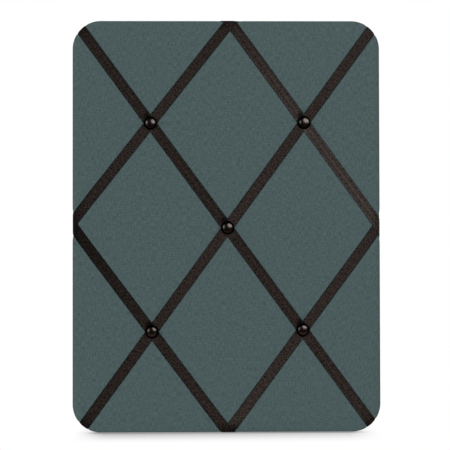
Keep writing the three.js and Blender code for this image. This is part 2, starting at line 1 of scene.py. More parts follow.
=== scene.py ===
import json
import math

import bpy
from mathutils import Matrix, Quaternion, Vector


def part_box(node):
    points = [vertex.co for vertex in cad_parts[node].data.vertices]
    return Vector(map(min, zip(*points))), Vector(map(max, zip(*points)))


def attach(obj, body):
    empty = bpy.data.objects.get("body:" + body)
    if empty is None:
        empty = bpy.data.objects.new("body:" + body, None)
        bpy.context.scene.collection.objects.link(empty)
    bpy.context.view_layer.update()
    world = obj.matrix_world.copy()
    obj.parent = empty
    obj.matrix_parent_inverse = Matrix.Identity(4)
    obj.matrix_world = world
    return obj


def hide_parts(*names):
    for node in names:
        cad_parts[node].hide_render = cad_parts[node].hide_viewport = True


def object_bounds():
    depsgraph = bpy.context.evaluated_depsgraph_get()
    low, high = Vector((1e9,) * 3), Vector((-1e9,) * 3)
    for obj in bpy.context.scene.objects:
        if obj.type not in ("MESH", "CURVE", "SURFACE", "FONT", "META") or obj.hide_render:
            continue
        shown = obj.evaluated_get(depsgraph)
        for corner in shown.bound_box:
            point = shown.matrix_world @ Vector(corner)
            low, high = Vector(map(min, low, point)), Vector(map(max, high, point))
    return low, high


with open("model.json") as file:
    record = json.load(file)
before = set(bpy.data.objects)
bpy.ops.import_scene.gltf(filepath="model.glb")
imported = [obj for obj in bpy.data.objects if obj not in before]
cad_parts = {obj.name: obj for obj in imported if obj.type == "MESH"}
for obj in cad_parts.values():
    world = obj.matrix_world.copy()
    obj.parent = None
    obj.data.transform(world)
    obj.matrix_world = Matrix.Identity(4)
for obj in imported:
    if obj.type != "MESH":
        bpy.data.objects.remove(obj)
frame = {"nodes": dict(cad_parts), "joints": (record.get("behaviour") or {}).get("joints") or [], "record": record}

# A padded memo board laced with ribbons. Metres, +Z up, the front faces -Y and the back +Y.
# A "level" is a distance in front of the lining's outer face, so it is minus Y.
# A "plan" point is (x, z), flat in the board's own face.

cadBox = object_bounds()
scene = bpy.context.scene
scene.view_settings.view_transform = "Standard"
quarterTurn = math.pi / 2
hair = 0.00001  # points closer than this count as one place


# Small helpers for working by hand

def dropSelection():
    if bpy.context.object and bpy.context.object.mode != "OBJECT":
        bpy.ops.object.mode_set(mode="OBJECT")
    bpy.ops.object.select_all(action="DESELECT")


def pick(piece, others=()):
    # selects these and makes the piece the active one
    dropSelection()
    for each in (*others, piece):
        each.select_set(True)
    bpy.context.view_layer.objects.active = piece


def nameNew(name):
    made = bpy.context.object
    made.name = name
    made.data.name = name
    return made


def choose(piece, kind, test):
    # goes into edit mode with only the parts that pass the test selected
    bpy.ops.object.mode_set(mode="OBJECT")
    mesh = piece.data
    for parts in (mesh.vertices, mesh.edges, mesh.polygons):
        parts.foreach_set("select", [False] * len(parts))
    scene.tool_settings.mesh_select_mode = (kind == "VERT", kind == "EDGE", kind == "FACE")
    chosen = {"VERT": mesh.vertices, "EDGE": mesh.edges, "FACE": mesh.polygons}[kind]
    for part in chosen:
        part.select = test(part)
    bpy.ops.object.mode_set(mode="EDIT")


def chooseAll(piece):
    choose(piece, "FACE", lambda face: True)


def leaveEdit():
    bpy.ops.object.mode_set(mode="OBJECT")


def applyModifier(piece, kind, **settings):
    pick(piece)
    modifier = piece.modifiers.new(kind.title(), kind)
    for key, value in settings.items():
        setattr(modifier, key, value)
    bpy.ops.object.modifier_apply(modifier=modifier.name)


def softenEdges(piece, cut):
    angle = math.radians(cut["edgeAngle"])
    applyModifier(piece, "BEVEL", width=cut["edge"], segments=2, limit_method="ANGLE", angle_limit=angle)


def cutAway(piece, tool):
    applyModifier(piece, "BOOLEAN", operation="DIFFERENCE", object=tool, solver="EXACT")
    bpy.data.objects.remove(tool)


def settle(piece, location=(0, 0, 0), rotation=(0, 0, 0)):
    # puts the piece's place and turn into its mesh
    pick(piece)
    piece.location = location
    piece.rotation_euler = rotation
    bpy.ops.object.transform_apply(location=True, rotation=True, scale=True)


def smoothShade(piece, degrees=40):
    pick(piece)
    bpy.ops.object.shade_smooth_by_angle(angle=math.radians(degrees))


def joinInto(piece, others):
    pick(piece, others)
    bpy.ops.object.join()


def copyOf(piece, name):
    pick(piece)
    bpy.ops.object.duplicate()
    return nameNew(name)


def addGrid(name, columns, rows):
    # a flat grid from -1 to 1, with the column and row of each of its points
    dropSelection()
    bpy.ops.mesh.primitive_grid_add(x_subdivisions=columns, y_subdivisions=rows, size=2)
    grid = nameNew(name)
    cells = []
    for vertex in grid.data.vertices:
        cells.append((round((vertex.co.x + 1) / 2 * columns), round((vertex.co.y + 1) / 2 * rows)))
    return grid, cells


def addHalfBall(name, radius, height, cut, closed):
    # a squashed ball's upper half
    dropSelection()
    bpy.ops.mesh.primitive_uv_sphere_add(segments=cut["segments"], ring_count=cut["rings"], radius=radius)
    ball = nameNew(name)
    chooseAll(ball)
    bpy.ops.mesh.bisect(plane_co=(0, 0, 0), plane_no=(0, 0, 1), clear_inner=True, use_fill=closed)
    bpy.ops.mesh.select_all(action="SELECT")
    bpy.ops.transform.resize(value=(1, 1, height / radius), center_override=(0, 0, 0))
    leaveEdit()
    return ball


def layMap(piece, name, places):
    # gives the piece one UV map, from a place for each of its points
    while piece.data.uv_layers:
        piece.data.uv_layers.remove(piece.data.uv_layers[0])
    layer = piece.data.uv_layers.new(name=name)
    for loop in piece.data.loops:
        layer.data[loop.index].uv = places[loop.vertex_index]


def noteValues(piece, name, values):
    piece.data.attributes.new(name, "FLOAT", "POINT").data.foreach_set("value", values)


def easeStep(share):
    share = min(max(share, 0.0), 1.0)
    return share * share * (3 - 2 * share)


# Camera: the photograph's view, from the front

shot = {
    "lens": 85,  # mm
    "sensor": 36,  # mm
    "imageSide": 450,  # pixels
    "boardMiddle": (226.5, 225.9),  # the pixel where the board's middle shows
    "perPixel": 0.0011996,  # metres on the board's front
    "pitch": 0.83,  # degrees that the camera looks up
    "yaw": 0.78,  # degrees that it looks to the right
    "roll": -0.11,  # degrees that it leans
}

coverLow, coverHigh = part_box("fabric_cover")


def makeCamera():
    dropSelection()
    away = shot["imageSide"] * shot["perPixel"] * shot["lens"] / shot["sensor"]
    half = shot["imageSide"] / 2
    target = Vector((
        (half - shot["boardMiddle"][0]) * shot["perPixel"],
        coverLow.y,
        (shot["boardMiddle"][1] - half) * shot["perPixel"],
    ))
    pitch, yaw = math.radians(shot["pitch"]), math.radians(shot["yaw"])
    looking = Vector((math.sin(yaw) * math.cos(pitch), math.cos(yaw) * math.cos(pitch), math.sin(pitch)))
    bpy.ops.object.camera_add(location=target - looking * away)
    camera = nameNew("front_camera")
    lean = Quaternion((0, 0, 1), math.radians(shot["roll"]))
    camera.rotation_euler = (looking.to_track_quat("-Z", "Y") @ lean).to_euler()
    camera.data.type = "PERSP"
    camera.data.lens = shot["lens"]
    camera.data.sensor_width = shot["sensor"]
    scene.camera = camera


makeCamera()
print("camera placed")


# Node helpers for the studio and the finishes

def addNode(tree, kind, inputs=None, **settings):
    node = tree.nodes.new(kind)
    for key, value in settings.items():
        setattr(node, key, value)
    for socket, value in (inputs or {}).items():
        if isinstance(value, bpy.types.NodeSocket):
            tree.links.new(value, node.inputs[socket])
        else:
            node.inputs[socket].default_value = value
    return node


def calculate(tree, operation, first, second=0.5, third=0.5):
    node = addNode(tree, "ShaderNodeMath", {0: first, 1: second, 2: third}, operation=operation)
    return node.outputs[0]


def mixColours(tree, share, first, second):
    inputs = {0: share}
    for socket, colour in ((6, first), (7, second)):
        inputs[socket] = colour if isinstance(colour, bpy.types.NodeSocket) else (*colour, 1)
    return addNode(tree, "ShaderNodeMix", inputs, data_type="RGBA").outputs[2]


def dimmed(tree, colour, level):
    return addNode(tree, "ShaderNodeVectorMath", {0: colour, "Scale": level}, operation="SCALE").outputs[0]


def noiseAt(tree, place, size, detail=2.0, roughness=0.5, stretch=(1, 1, 1)):
    # size is the length of a feature, and stretch makes it longer one way
    scale = [1 / (size * longer) for longer in stretch]
    mapping = addNode(tree, "ShaderNodeMapping", {"Vector": place, "Scale": scale})
    noise = addNode(
        tree, "ShaderNodeTexNoise",
        {"Vector": mapping.outputs[0], "Scale": 1.0, "Detail": detail, "Roughness": roughness},
    )
    return noise.outputs[0]


def rangeOf(tree, value, span, result=(0.0, 1.0)):
    # moves a value from one span into another
    node = addNode(
        tree, "ShaderNodeMapRange",
        {"Value": value, "From Min": span[0], "From Max": span[1], "To Min": result[0], "To Max": result[1]},
    )
    return node.outputs[0]


def bumpFrom(tree, height, distance, strength):
    node = addNode(tree, "ShaderNodeBump", {"Height": height, "Distance": distance, "Strength": strength})
    return node.outputs[0]


def newFinish(name, **sockets):
    finish = bpy.data.materials.new(name)
    finish.use_nodes = True
    shader = finish.node_tree.nodes["Principled BSDF"]
    for socket, value in sockets.items():
        shader.inputs[socket.replace("_", " ")].default_value = value
    return finish, finish.node_tree, shader


def wire(tree, shader, **sockets):
    for socket, value in sockets.items():
        tree.links.new(value, shader.inputs[socket.replace("_", " ")])


def objectPlace(tree):
    return addNode(tree, "ShaderNodeTexCoord").outputs["Object"]


def mapPlace(tree, mapName):
    return addNode(tree, "ShaderNodeUVMap", uv_map=mapName).outputs[0]


def notedValue(tree, name):
    return addNode(tree, "ShaderNodeAttribute", attribute_name=name).outputs["Fac"]


def partsOf(tree, place):
    return addNode(tree, "ShaderNodeSeparateXYZ", {0: place}).outputs


# Studio: white floor and air, an even soft light, and three softboxes that show in the tacks

studio = {
    "ambient": (0.82, 0.36),  # what the room gives to the front and to the back
    "airTurn": (-0.3, 0.5),  # the air goes from the one to the other between these directions
    "roomGloss": 0.010,  # what polished things see of the dark room in front
    "roomTint": (1.0, 0.62, 0.48),  # and in which tint
    "airGloss": 1.0,  # what they see of the white air behind the board
    "backFloorGloss": 0.8,  # and of the floor there
    "behind": (-0.1, 0.6),  # which come up between these directions and distances
    "floorGloss": 0.26,  # what they see of the floor in front of the board
    "floorGlossFar": (-0.23, -0.12),  # it comes up between these distances
    "floorGlossNear": (-0.05, -0.10),  # and goes again where the board shades the floor
    "floorHalf": 6.0,
    "shadowReach": 0.057,  # how far the painted shadow at the board's foot reaches
    "shadowSamples": 8,
    "shadowCurve": 1.2,
    "shadowFloor": 0.32,  # the darkest that the floor gets
    "shadowHalf": (0.146, 0.184),  # the shadow fades out between these distances from the middle
    "shadowLean": (1.17, 0.83),  # the painted shadow is deeper at the left than at the right
    "leanSpan": (-0.16, 0.16),  # between these distances
    "sunPower": 0.80,
    "sunSoftness": 18,  # degrees
    "sunFrom": (-0.52, -0.80, 0.28),
    "backPower": 0.6,
    "backFrom": (0.45, 0.8, 0.4),
}
softboxes = [  # these show in polished things only
    {"name": "main_softbox", "at": (0.30, -0.46, 0.36), "size": (0.56, 0.64), "power": 2.05},
    {"name": "right_softbox", "at": (0.70, -0.34, 0.36), "size": (0.45, 0.55), "power": 1.2},
    {"name": "left_softbox", "at": (-1.04, -0.73, 0.30), "size": (0.62, 0.90), "power": 2.4},
]


def seenBy(tree, plainLevel, glossLevel, directLevel):
    # one level for diffuse rays, one for polished reflections and one for what the camera sees
    path = addNode(tree, "ShaderNodeLightPath").outputs
    seen = calculate(tree, "MAXIMUM", path["Is Camera Ray"], path["Is Transmission Ray"])
    level = addNode(
        tree, "ShaderNodeMix", {"Factor": path["Is Glossy Ray"], "A": plainLevel, "B": glossLevel})
    return addNode(
        tree, "ShaderNodeMix", {"Factor": seen, "A": level.outputs[0], "B": directLevel}).outputs[0]


def warmed(tree, back):
    # white, but in polished things the room in front is warm
    gloss = addNode(tree, "ShaderNodeLightPath").outputs["Is Glossy Ray"]
    share = calculate(tree, "MULTIPLY", gloss, rangeOf(tree, back, studio["behind"], (1.0, 0.0)))
    return mixColours(tree, share, (1, 1, 1), studio["roomTint"])


def makeAir():
    air = bpy.data.worlds.new("studio_air")
    air.use_nodes = True
    scene.world = air
    tree = air.node_tree
    back = partsOf(tree, addNode(tree, "ShaderNodeTexCoord").outputs["Generated"])["Y"]
    glossLevel = rangeOf(tree, back, studio["behind"], (studio["roomGloss"], studio["airGloss"]))
    plainLevel = rangeOf(tree, back, studio["airTurn"], studio["ambient"])
    level = seenBy(tree, plainLevel, glossLevel, 1.0)
    wire(tree, tree.nodes["Background"], Strength=level, Color=warmed(tree, back))


def makeFloor():
    dropSelection()
    bpy.ops.mesh.primitive_plane_add(size=2 * studio["floorHalf"], location=(0, 0, cadBox[0].z))
    floor = nameNew("studio_floor")
    finish, tree, shader = newFinish("white_floor")
    tree.nodes.remove(shader)
    place = partsOf(tree, objectPlace(tree))
    across, back = place["X"], place["Y"]
    # the camera sees white, with a painted shadow at the board's foot drawn from occlusion
    openAir = addNode(
        tree, "ShaderNodeAmbientOcclusion", {"Distance": studio["shadowReach"]},
        samples=studio["shadowSamples"],
    ).outputs["AO"]
    closed = calculate(tree, "SUBTRACT", 1.0, openAir)
    shade = calculate(tree, "POWER", closed, studio["shadowCurve"])
    ends = rangeOf(tree, calculate(tree, "ABSOLUTE", across), studio["shadowHalf"], (1.0, 0.0))
    lean = rangeOf(tree, across, studio["leanSpan"], studio["shadowLean"])
    shade = calculate(tree, "MULTIPLY", calculate(tree, "MULTIPLY", shade, ends), lean)
    paintedShadowLevel = calculate(tree, "MAXIMUM", calculate(tree, "SUBTRACT", 1.0, shade), studio["shadowFloor"])
    # polished things see a pale strip in front of the board, and white behind it
    farShare = rangeOf(tree, back, studio["floorGlossFar"])
    nearLevel = rangeOf(tree, back, studio["floorGlossNear"], (0.0, studio["floorGloss"]))
    glossLevel = rangeOf(tree, back, studio["behind"], (studio["roomGloss"], studio["backFloorGloss"]))
    glossLevel = calculate(tree, "MULTIPLY_ADD", farShare, nearLevel, glossLevel)
    plainLevel = rangeOf(tree, back, studio["behind"], studio["ambient"])
    level = seenBy(tree, plainLevel, glossLevel, paintedShadowLevel)
    glow = addNode(tree, "ShaderNodeEmission", {"Strength": level, "Color": warmed(tree, back)})
    wire(tree, tree.nodes["Material Output"], Surface=glow.outputs[0])
    floor.data.materials.append(finish)


def aimedAt(start, target):
    return (Vector(target) - Vector(start)).to_track_quat("-Z", "Y").to_euler()


def makeLamps():
    middle = (0, coverLow.y, 0)
    for softbox in softboxes:
        bpy.ops.object.light_add(
            type="AREA", location=softbox["at"], rotation=aimedAt(softbox["at"], middle))
        lamp = nameNew(softbox["name"])
        lamp.data.shape = "ELLIPSE"
        lamp.data.size, lamp.data.size_y = softbox["size"]
        lamp.data.energy = softbox["power"]
        lamp.visible_diffuse = False
        lamp.visible_camera = False
    for name, key in (("side_sun", "sun"), ("back_sun", "back")):
        start = studio[key + "From"]
        bpy.ops.object.light_add(type="SUN", location=start, rotation=aimedAt(start, middle))
        lamp = nameNew(name)
        lamp.data.energy = studio[key + "Power"]
        lamp.data.angle = math.radians(studio["sunSoftness"])
    bpy.data.objects["side_sun"].visible_glossy = False


makeAir()
makeFloor()
makeLamps()
print("studio lit")


# The padded panel: its outline, its rolled edge and the level of its front

panel = {
    "cornerRadius": 0.034,
    "rollRun": 0.0099,  # how far in from the outline the padding rolls over
    "crownRun": 0.014,
    "crownRise": 0.0008,
    "clothThickness": 0.0005,
    "hemWidth": 0.024,
    "tuftRadius": 0.030,
    "tuftDepth": 0.0012,
    "grooveDepth": 0.0005,  # how deep the ribbons press into the padding
    "grooveRun": 0.016,  # from the ribbon's edge to where the padding is full again
    "rimDent": 0.0004,  # how deep they press into the cloth where they turn over the edge
    "rimDentRun": 0.004,
    "sideDent": 0.0005,  # how much deeper they do so at the left and right
    "sideDentCurve": 8,  # and how suddenly that goes round the corners
}
halfWidth, halfHeight = coverHigh.x, coverHigh.z
frontLevel, hemLevel = -coverLow.y, -coverHigh.y
padFoot = -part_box("batting_pad")[1].y
rollRise = frontLevel - panel["crownRise"] - padFoot
crownEnd = panel["rollRun"] + panel["crownRun"]  # inset where the front becomes flat


def fromOutline(plan):
    # distance outside the rounded outline, negative inside, and the way straight out
    radius = panel["cornerRadius"]
    overX = abs(plan.x) - (halfWidth - radius)
    overZ = abs(plan.y) - (halfHeight - radius)
    out = Vector((max(overX, 0.0), max(overZ, 0.0)))
    distance = out.length + min(max(overX, overZ), 0.0) - radius
    if out.length == 0:
        out = Vector((1, 0)) if overX > overZ else Vector((0, 1))
    out.normalize()
    return distance, Vector((math.copysign(out.x, plan.x), math.copysign(out.y, plan.y)))


def crownLevel(share):
    return frontLevel - panel["crownRise"] * (1 - easeStep(share))


def edgeStops(cut, hemEnd):
    # the cover's section from the flat front over the edge to the back, each stop as
    # inset, level, and the outward direction in plan and in level
    stops = []
    for step in range(cut["crownSteps"], 0, -1):
        share = step / cut["crownSteps"]
        slope = panel["crownRise"] * 6 * share * (1 - share) / panel["crownRun"]  # that of easeStep
        out = Vector((slope, 1)).normalized()
        stops.append((panel["rollRun"] + panel["crownRun"] * share, crownLevel(share), out.x, out.y))
    for step in range(cut["rollSteps"], -1, -1):
        angle = quarterTurn * step / cut["rollSteps"]
        out = Vector((math.cos(angle) / panel["rollRun"], math.sin(angle) / rollRise)).normalized()
        inset = panel["rollRun"] * (1 - math.cos(angle))
        stops.append((inset, padFoot + rollRise * math.sin(angle), out.x, out.y))
    bend = panel["clothThickness"]
    for step in range(1, cut["sideSteps"]):
        stops.append((0.0, padFoot + (hemLevel + bend - padFoot) * step / cut["sideSteps"], 1.0, 0.0))
    for step in range(cut["backSteps"] + 1):
        angle = quarterTurn * step / cut["backSteps"]
        inset = bend * (1 - math.cos(angle))
        stops.append((inset, hemLevel + bend * (1 - math.sin(angle)), math.cos(angle), -math.sin(angle)))
    for step in range(1, cut["hemSteps"] + 1):
        stops.append((bend + (hemEnd - bend) * step / cut["hemSteps"], hemLevel, 0.0, -1.0))
    return stops


def lengthsAlong(stops):
    lengths = [-stops[0][0]]
    for before, after in zip(stops, stops[1:]):
        lengths.append(lengths[-1] + math.hypot(after[0] - before[0], after[1] - before[1]))
    return lengths


def edgeLevel(inset):
    if inset >= crownEnd:
        return frontLevel
    if inset >= panel["rollRun"]:
        return crownLevel((inset - panel["rollRun"]) / panel["crownRun"])
    over = 1 - max(inset, 0.0) / panel["rollRun"]
    return padFoot + rollRise * math.sqrt(max(1 - over * over, 0.0))


def edgeOut(inset):
    # the way straight out of the rolled edge, in plan and in level
    if inset >= panel["rollRun"]:
        return 0.0, 1.0
    over = 1 - max(inset, 0.0) / panel["rollRun"]
    out = Vector((over / panel["rollRun"], math.sqrt(max(1 - over * over, 0.0)) / rollRise)).normalized()
    return out.x, out.y


# Where the ribbons run and the tacks sit

ribbonCut = {
    "width": 0.013,
    "thickness": 0.0004,
    "gap": 0.00002,
    "tail": 0.034,  # on the back, from the board's edge to the ribbon's end
    "hemBlend": 0.008,  # there it comes straight again over this distance
    "ramp": 0.010,  # an upper ribbon climbs onto the lower one over this distance
    "crossingMargin": 0.0015,
    "ribPitch": 0.0010,
    "ribHeight": 0.00009,
    "ribCurve": 6,  # how near the woven edges the ribs end
    "edgeDrop": 0.0001,  # how much lower those edges lie
    "edgeCurve": 8,
    "columns": 8,
    "stepsPerRib": 4,
    "crownSteps": 10,
    "rollSteps": 24,
    "sideSteps": 8,
    "backSteps": 8,
    "hemSteps": 12,
    "foldHalvings": 40,
    "shadeRun": 0.016,  # painted shade darkens the ends over this distance from the board's edge, where they turn away
    "streakPitch": 0.0058,  # between lengthwise streaks of painted sheen and shade along folds
    "streakPhase": 0.7,
    "streakWander": 0.6,  # how far they wander across the ribbon
    "streakDrift": 0.045,  # and over which distance
}


def mark(side, level, drift):
    # a place on the board's edge; the drift runs along the top or bottom edge or, halfway up, along the side
    if level == 0:
        return Vector((side * halfWidth, drift))
    return Vector((side * halfWidth + drift, level * halfHeight))


# falling ribbons run down to the right and lie over the rising ones
# the first list paints sheen and shade on each ribbon's start, middle and stop, and shaded is the painted shade
# that darkens its two ends where they turn over the edge
ribbons = [
    {
        "node": "ribbon_rising_long", "over": False, "foldSheen": 0.0,
        "start": mark(1, 1, -0.0016), "stop": mark(-1, -1, 0.0073),
        "lightAndShade": (1.00, 1.28, 0.80), "shaded": (0.15, 0.60),
    },
    {
        "node": "ribbon_rising_upper_left", "over": False, "foldSheen": 0.0,
        "start": mark(0, 1, 0.0068), "stop": mark(-1, 0, 0.0049),
        "lightAndShade": (0.86, 1.15, 0.85), "shaded": (0.70, 0.68),
    },
    {
        "node": "ribbon_rising_lower_right", "over": False, "foldSheen": 0.0,
        "start": mark(1, 0, 0.0021), "stop": mark(0, -1, 0.0009),
        "lightAndShade": (1.18, 1.30, 1.70), "shaded": (0.20, 0.90),
    },
    {
        "node": "ribbon_falling_long", "over": True, "foldSheen": 0.26,
        "start": mark(-1, 1, 0.0026), "stop": mark(1, -1, -0.0037),
        "lightAndShade": (0.84, 0.88, 1.30), "shaded": (0.45, 0.62),
    },
    {
        "node": "ribbon_falling_upper_right", "over": True, "foldSheen": 0.34,
        "start": mark(0, 1, 0.0033), "stop": mark(1, 0, -0.0015),
        "lightAndShade": (0.95, 1.90, 2.20), "shaded": (0.40, 0.46),
    },
    {
        "node": "ribbon_falling_lower_left", "over": True, "foldSheen": 0.0,
        "start": mark(-1, 0, 0.0003), "stop": mark(0, -1, 0.0013),
        "lightAndShade": (0.34, 0.88, 1.16), "shaded": (0.30, 0.68),
    },
]
tackShadePatches = [  # painted shade above each tack, where the ribbons dip, and painted light below it
    {"at": Vector((-0.0034, 0.0086)), "reach": 0.0064, "change": -0.90},
    {"at": Vector((0.0012, -0.0096)), "reach": 0.0075, "change": 0.40},
]
for ribbon in ribbons:
    ribbon["run"] = (ribbon["stop"] - ribbon["start"]).normalized()
    ribbon["side"] = Vector((ribbon["run"].y, -ribbon["run"].x))
    ribbon["length"] = (ribbon["stop"] - ribbon["start"]).length

tackNodes = ["tack_upper_left", "tack_upper_right", "tack_middle", "tack_lower_left", "tack_lower_right"]
tackPlaces = []
for node in tackNodes:
    low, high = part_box(node)
    tackPlaces.append(Vector(((low.x + high.x) / 2, (low.z + high.z) / 2)))


def besideRibbons(plan):
    # distance from the nearest ribbon's edge
    nearest = panel["grooveRun"]
    for ribbon in ribbons:
        away = plan - ribbon["start"]
        if -ribbonCut["tail"] < away.dot(ribbon["run"]) < ribbon["length"] + ribbonCut["tail"]:
            nearest = min(nearest, abs(away.dot(ribbon["side"])) - ribbonCut["width"] / 2)
    return nearest


def rimDent(plan, inset):
    depth = panel["rimDent"] + panel["sideDent"] * fromOutline(plan)[1].x ** panel["sideDentCurve"]
    dent = depth * (1 - easeStep(besideRibbons(plan) / panel["rimDentRun"]))
    return dent * (1 - easeStep((inset - panel["rollRun"]) / panel["crownRun"]))


def frontDrop(plan, inset):
    # how far the ribbons and the tacks draw the front in
    groove = 1 - easeStep(besideRibbons(plan) / panel["grooveRun"])
    tuft = 0.0
    for place in tackPlaces:
        away = (plan - place).length / panel["tuftRadius"]
        if away < 1:
            tuft = max(tuft, (1 - away * away) ** 2)
    groove *= panel["grooveDepth"] * easeStep((inset - crownEnd) / panel["grooveRun"])
    return groove + (panel["tuftDepth"] - groove) * tuft


swellCut = {  # the sheet on which the swelling of the padded front is simulated
    "columns": 60,
    "rows": 80,
    "frames": 20,
    "pressure": 4.0,
    "margin": 0.002,  # it is held this far beyond the ribbons' edges
    "rise": 0.0009,  # how far its highest point may stand out
}


def simulateSwell():
    # cloth under even pressure, held at the rim and under the ribbons; returns how far each point stands out
    sheet, cells = addGrid("swelling_sheet", swellCut["columns"], swellCut["rows"])
    sheet.scale = (halfWidth, halfHeight, 1)
    settle(sheet, (0, 0, 0), (quarterTurn, 0, 0))
    held = sheet.vertex_groups.new(name="held")
    for vertex in sheet.data.vertices:
        plan = Vector((vertex.co.x, vertex.co.z))
        if -fromOutline(plan)[0] < crownEnd or besideRibbons(plan) < swellCut["margin"]:
            held.add([vertex.index], 1.0, "REPLACE")
    cloth = sheet.modifiers.new("Cloth", "CLOTH")
    cloth.settings.vertex_group_mass = held.name
    cloth.settings.use_pressure = True
    cloth.settings.uniform_pressure_force = swellCut["pressure"]
    cloth.settings.effector_weights.gravity = 0
    cloth.point_cache.frame_end = swellCut["frames"]
    for step in range(1, swellCut["frames"] + 1):
        scene.frame_set(step)
    bpy.ops.object.modifier_apply(modifier=cloth.name)
    scene.frame_set(1)
    stands = {cell: -vertex.co.y for cell, vertex in zip(cells, sheet.data.vertices)}
    bpy.data.objects.remove(sheet)
    highest = max(stands.values())
    return {cell: swellCut["rise"] * stand / highest for cell, stand in stands.items()}


swells = simulateSwell()
print("padding swollen", round(max(swells.values()) * 1000, 3), "mm")


def swellAt(plan):
    # the simulated swelling between the sheet's points
    columns, rows = swellCut["columns"], swellCut["rows"]
    across = min(max((plan.x / halfWidth + 1) / 2, 0.0), 1.0) * columns
    up = min(max((plan.y / halfHeight + 1) / 2, 0.0), 1.0) * rows
    column, row = min(int(across), columns - 1), min(int(up), rows - 1)
    shareX, shareZ = easeStep(across - column), easeStep(up - row)
    low, high = (
        swells[column, line] + (swells[column + 1, line] - swells[column, line]) * shareX
        for line in (row, row + 1)
    )
    return low + (high - low) * shareZ


def coverLevel(plan):
    inset = -fromOutline(plan)[0]
    return edgeLevel(inset) - frontDrop(plan, inset) + swellAt(plan)


# Cloth cover: a grid laid over the front, whose rim is drawn down the sides and folded onto the back

coverCut = {
    "crownSteps": 7,
    "rollSteps": 10,
    "sideSteps": 4,
    "backSteps": 3,
    "hemSteps": 8,
    "cornerStep": 0.0021,  # grid spacing as far in as the corners reach
    "openStep": 0.0042,  # grid spacing further in
    "pleats": 5,  # folds that take up the cloth at each corner of the hem
    "pleatHeight": 0.0006,
    "pleatStart": 0.002,  # they begin this far in from the edge
    "pleatRun": 0.006,
}


def gridInsets(half, stops, cut):
    # insets from the edge to the middle: the section's own stops, then even steps
    insets = sorted(stops)
    for limit, step in ((panel["cornerRadius"], cut["cornerStep"]), (half, cut["openStep"])):
        start = insets[-1]
        count = max(1, round((limit - start) / step))
        insets += [start + (limit - start) * (k + 1) / count for k in range(count)]
    return insets


def roundedPlan(columnInset, rowInset):
    # a grid point of the upper right corner: rings of equal inset follow the rounded outline
    inset = min(columnInset, rowInset)
    radius = max(panel["cornerRadius"] - inset, 0.0)
    along = abs(columnInset - rowInset)
    if along >= radius:
        return Vector((halfWidth - columnInset, halfHeight - rowInset))
    angle = quarterTurn / 2 * (1 - along / radius)
    near, far = radius * math.cos(angle), radius * math.sin(angle)
    turn = Vector((halfWidth - inset - radius, halfHeight - inset - radius))
    return turn + Vector((near, far) if columnInset <= rowInset else (far, near))


def layGrid(name, stops, cut):
    # a flat grid with lines at the stops' insets from the four sides; returns the piece and its plan points
    columnInsets, rowInsets = gridInsets(halfWidth, stops, cut), gridInsets(halfHeight, stops, cut)
    columns, rows = 2 * len(columnInsets) - 2, 2 * len(rowInsets) - 2
    piece, cells = addGrid(name, columns, rows)
    plans = []
    for column, row in cells:
        plan = roundedPlan(columnInsets[min(column, columns - column)], rowInsets[min(row, rows - row)])
        plans.append(Vector((
            plan.x if 2 * column >= columns else -plan.x,
            plan.y if 2 * row >= rows else -plan.y,
        )))
    return piece, plans


def pleatLift(plan, inset):
    # how far a corner pleat of the hem stands off the back
    turn = Vector((
        abs(plan.x) - (halfWidth - panel["cornerRadius"]),
        abs(plan.y) - (halfHeight - panel["cornerRadius"]),
    ))
    if turn.x <= 0 or turn.y <= 0:
        return 0.0
    share = math.atan2(turn.y, turn.x) / quarterTurn
    wave = 0.5 - 0.5 * math.cos(2 * math.pi * coverCut["pleats"] * share)
    grown = easeStep((inset - coverCut["pleatStart"]) / coverCut["pleatRun"])
    return coverCut["pleatHeight"] * wave ** 2 * grown


def flatLength(inset, front, lengths):
    # distance from the outline, measured along the cloth, of a point of the front
    if inset >= front[0][0]:
        return -inset
    for before, after, near, far in zip(front, front[1:], lengths, lengths[1:]):
        if inset >= after[0]:
            share = (before[0] - inset) / (before[0] - after[0])
            return near + (far - near) * share
    return lengths[len(front) - 1]


def makeCover():
    stops = edgeStops(coverCut, panel["hemWidth"])
    lengths = lengthsAlong(stops)
    frontCount = coverCut["crownSteps"] + coverCut["rollSteps"] + 1
    front = stops[:frontCount]
    cover, plans = layGrid("cover_cloth", [stop[0] for stop in front], coverCut)
    flat = {}
    for vertex, plan in zip(cover.data.vertices, plans):
        distance, out = fromOutline(plan)
        outPlan, outLevel = edgeOut(-distance)
        dent = rimDent(plan, -distance)
        pressed = plan - out * (dent * outPlan)
        vertex.co = (pressed.x, dent * outLevel - coverLevel(plan), pressed.y)
        flat[vertex.index] = plan + out * (flatLength(-distance, front, lengths) - distance)
    # the rim is extruded ring by ring along the section
    chooseAll(cover)
    bpy.ops.mesh.region_to_loop()
    inset = 0.0
    for stop, length in zip(stops[frontCount:], lengths[frontCount:]):
        bpy.ops.mesh.extrude_region_move()
        leaveEdit()
        for vertex in cover.data.vertices:
            if vertex.select:
                plan = Vector((vertex.co.x, vertex.co.z))
                out = fromOutline(plan)[1]
                plan += out * (inset - stop[0])
                vertex.co = (plan.x, pleatLift(plan, stop[0]) - stop[1], plan.y)
                flat[vertex.index] = plan + out * (stop[0] + length)
        inset = stop[0]
        bpy.ops.object.mode_set(mode="EDIT")
    leaveEdit()
    layMap(cover, "clothMap", flat)
    applyModifier(cover, "SOLIDIFY", thickness=panel["clothThickness"], offset=-1, use_even_offset=True)
    smoothShade(cover)
    return cover, lengths[-1]


cover, clothReach = makeCover()
print("cover stretched", len(cover.data.polygons), "faces")


# Batting: the wadding under the cloth, flat where it lies on the cork

battingCut = {
    "crownSteps": 4,
    "rollSteps": 6,
    "cornerStep": 0.006,
    "openStep": 0.008,
    "clearance": 0.0002,  # under the cloth
    "shadeAngle": 60,
}


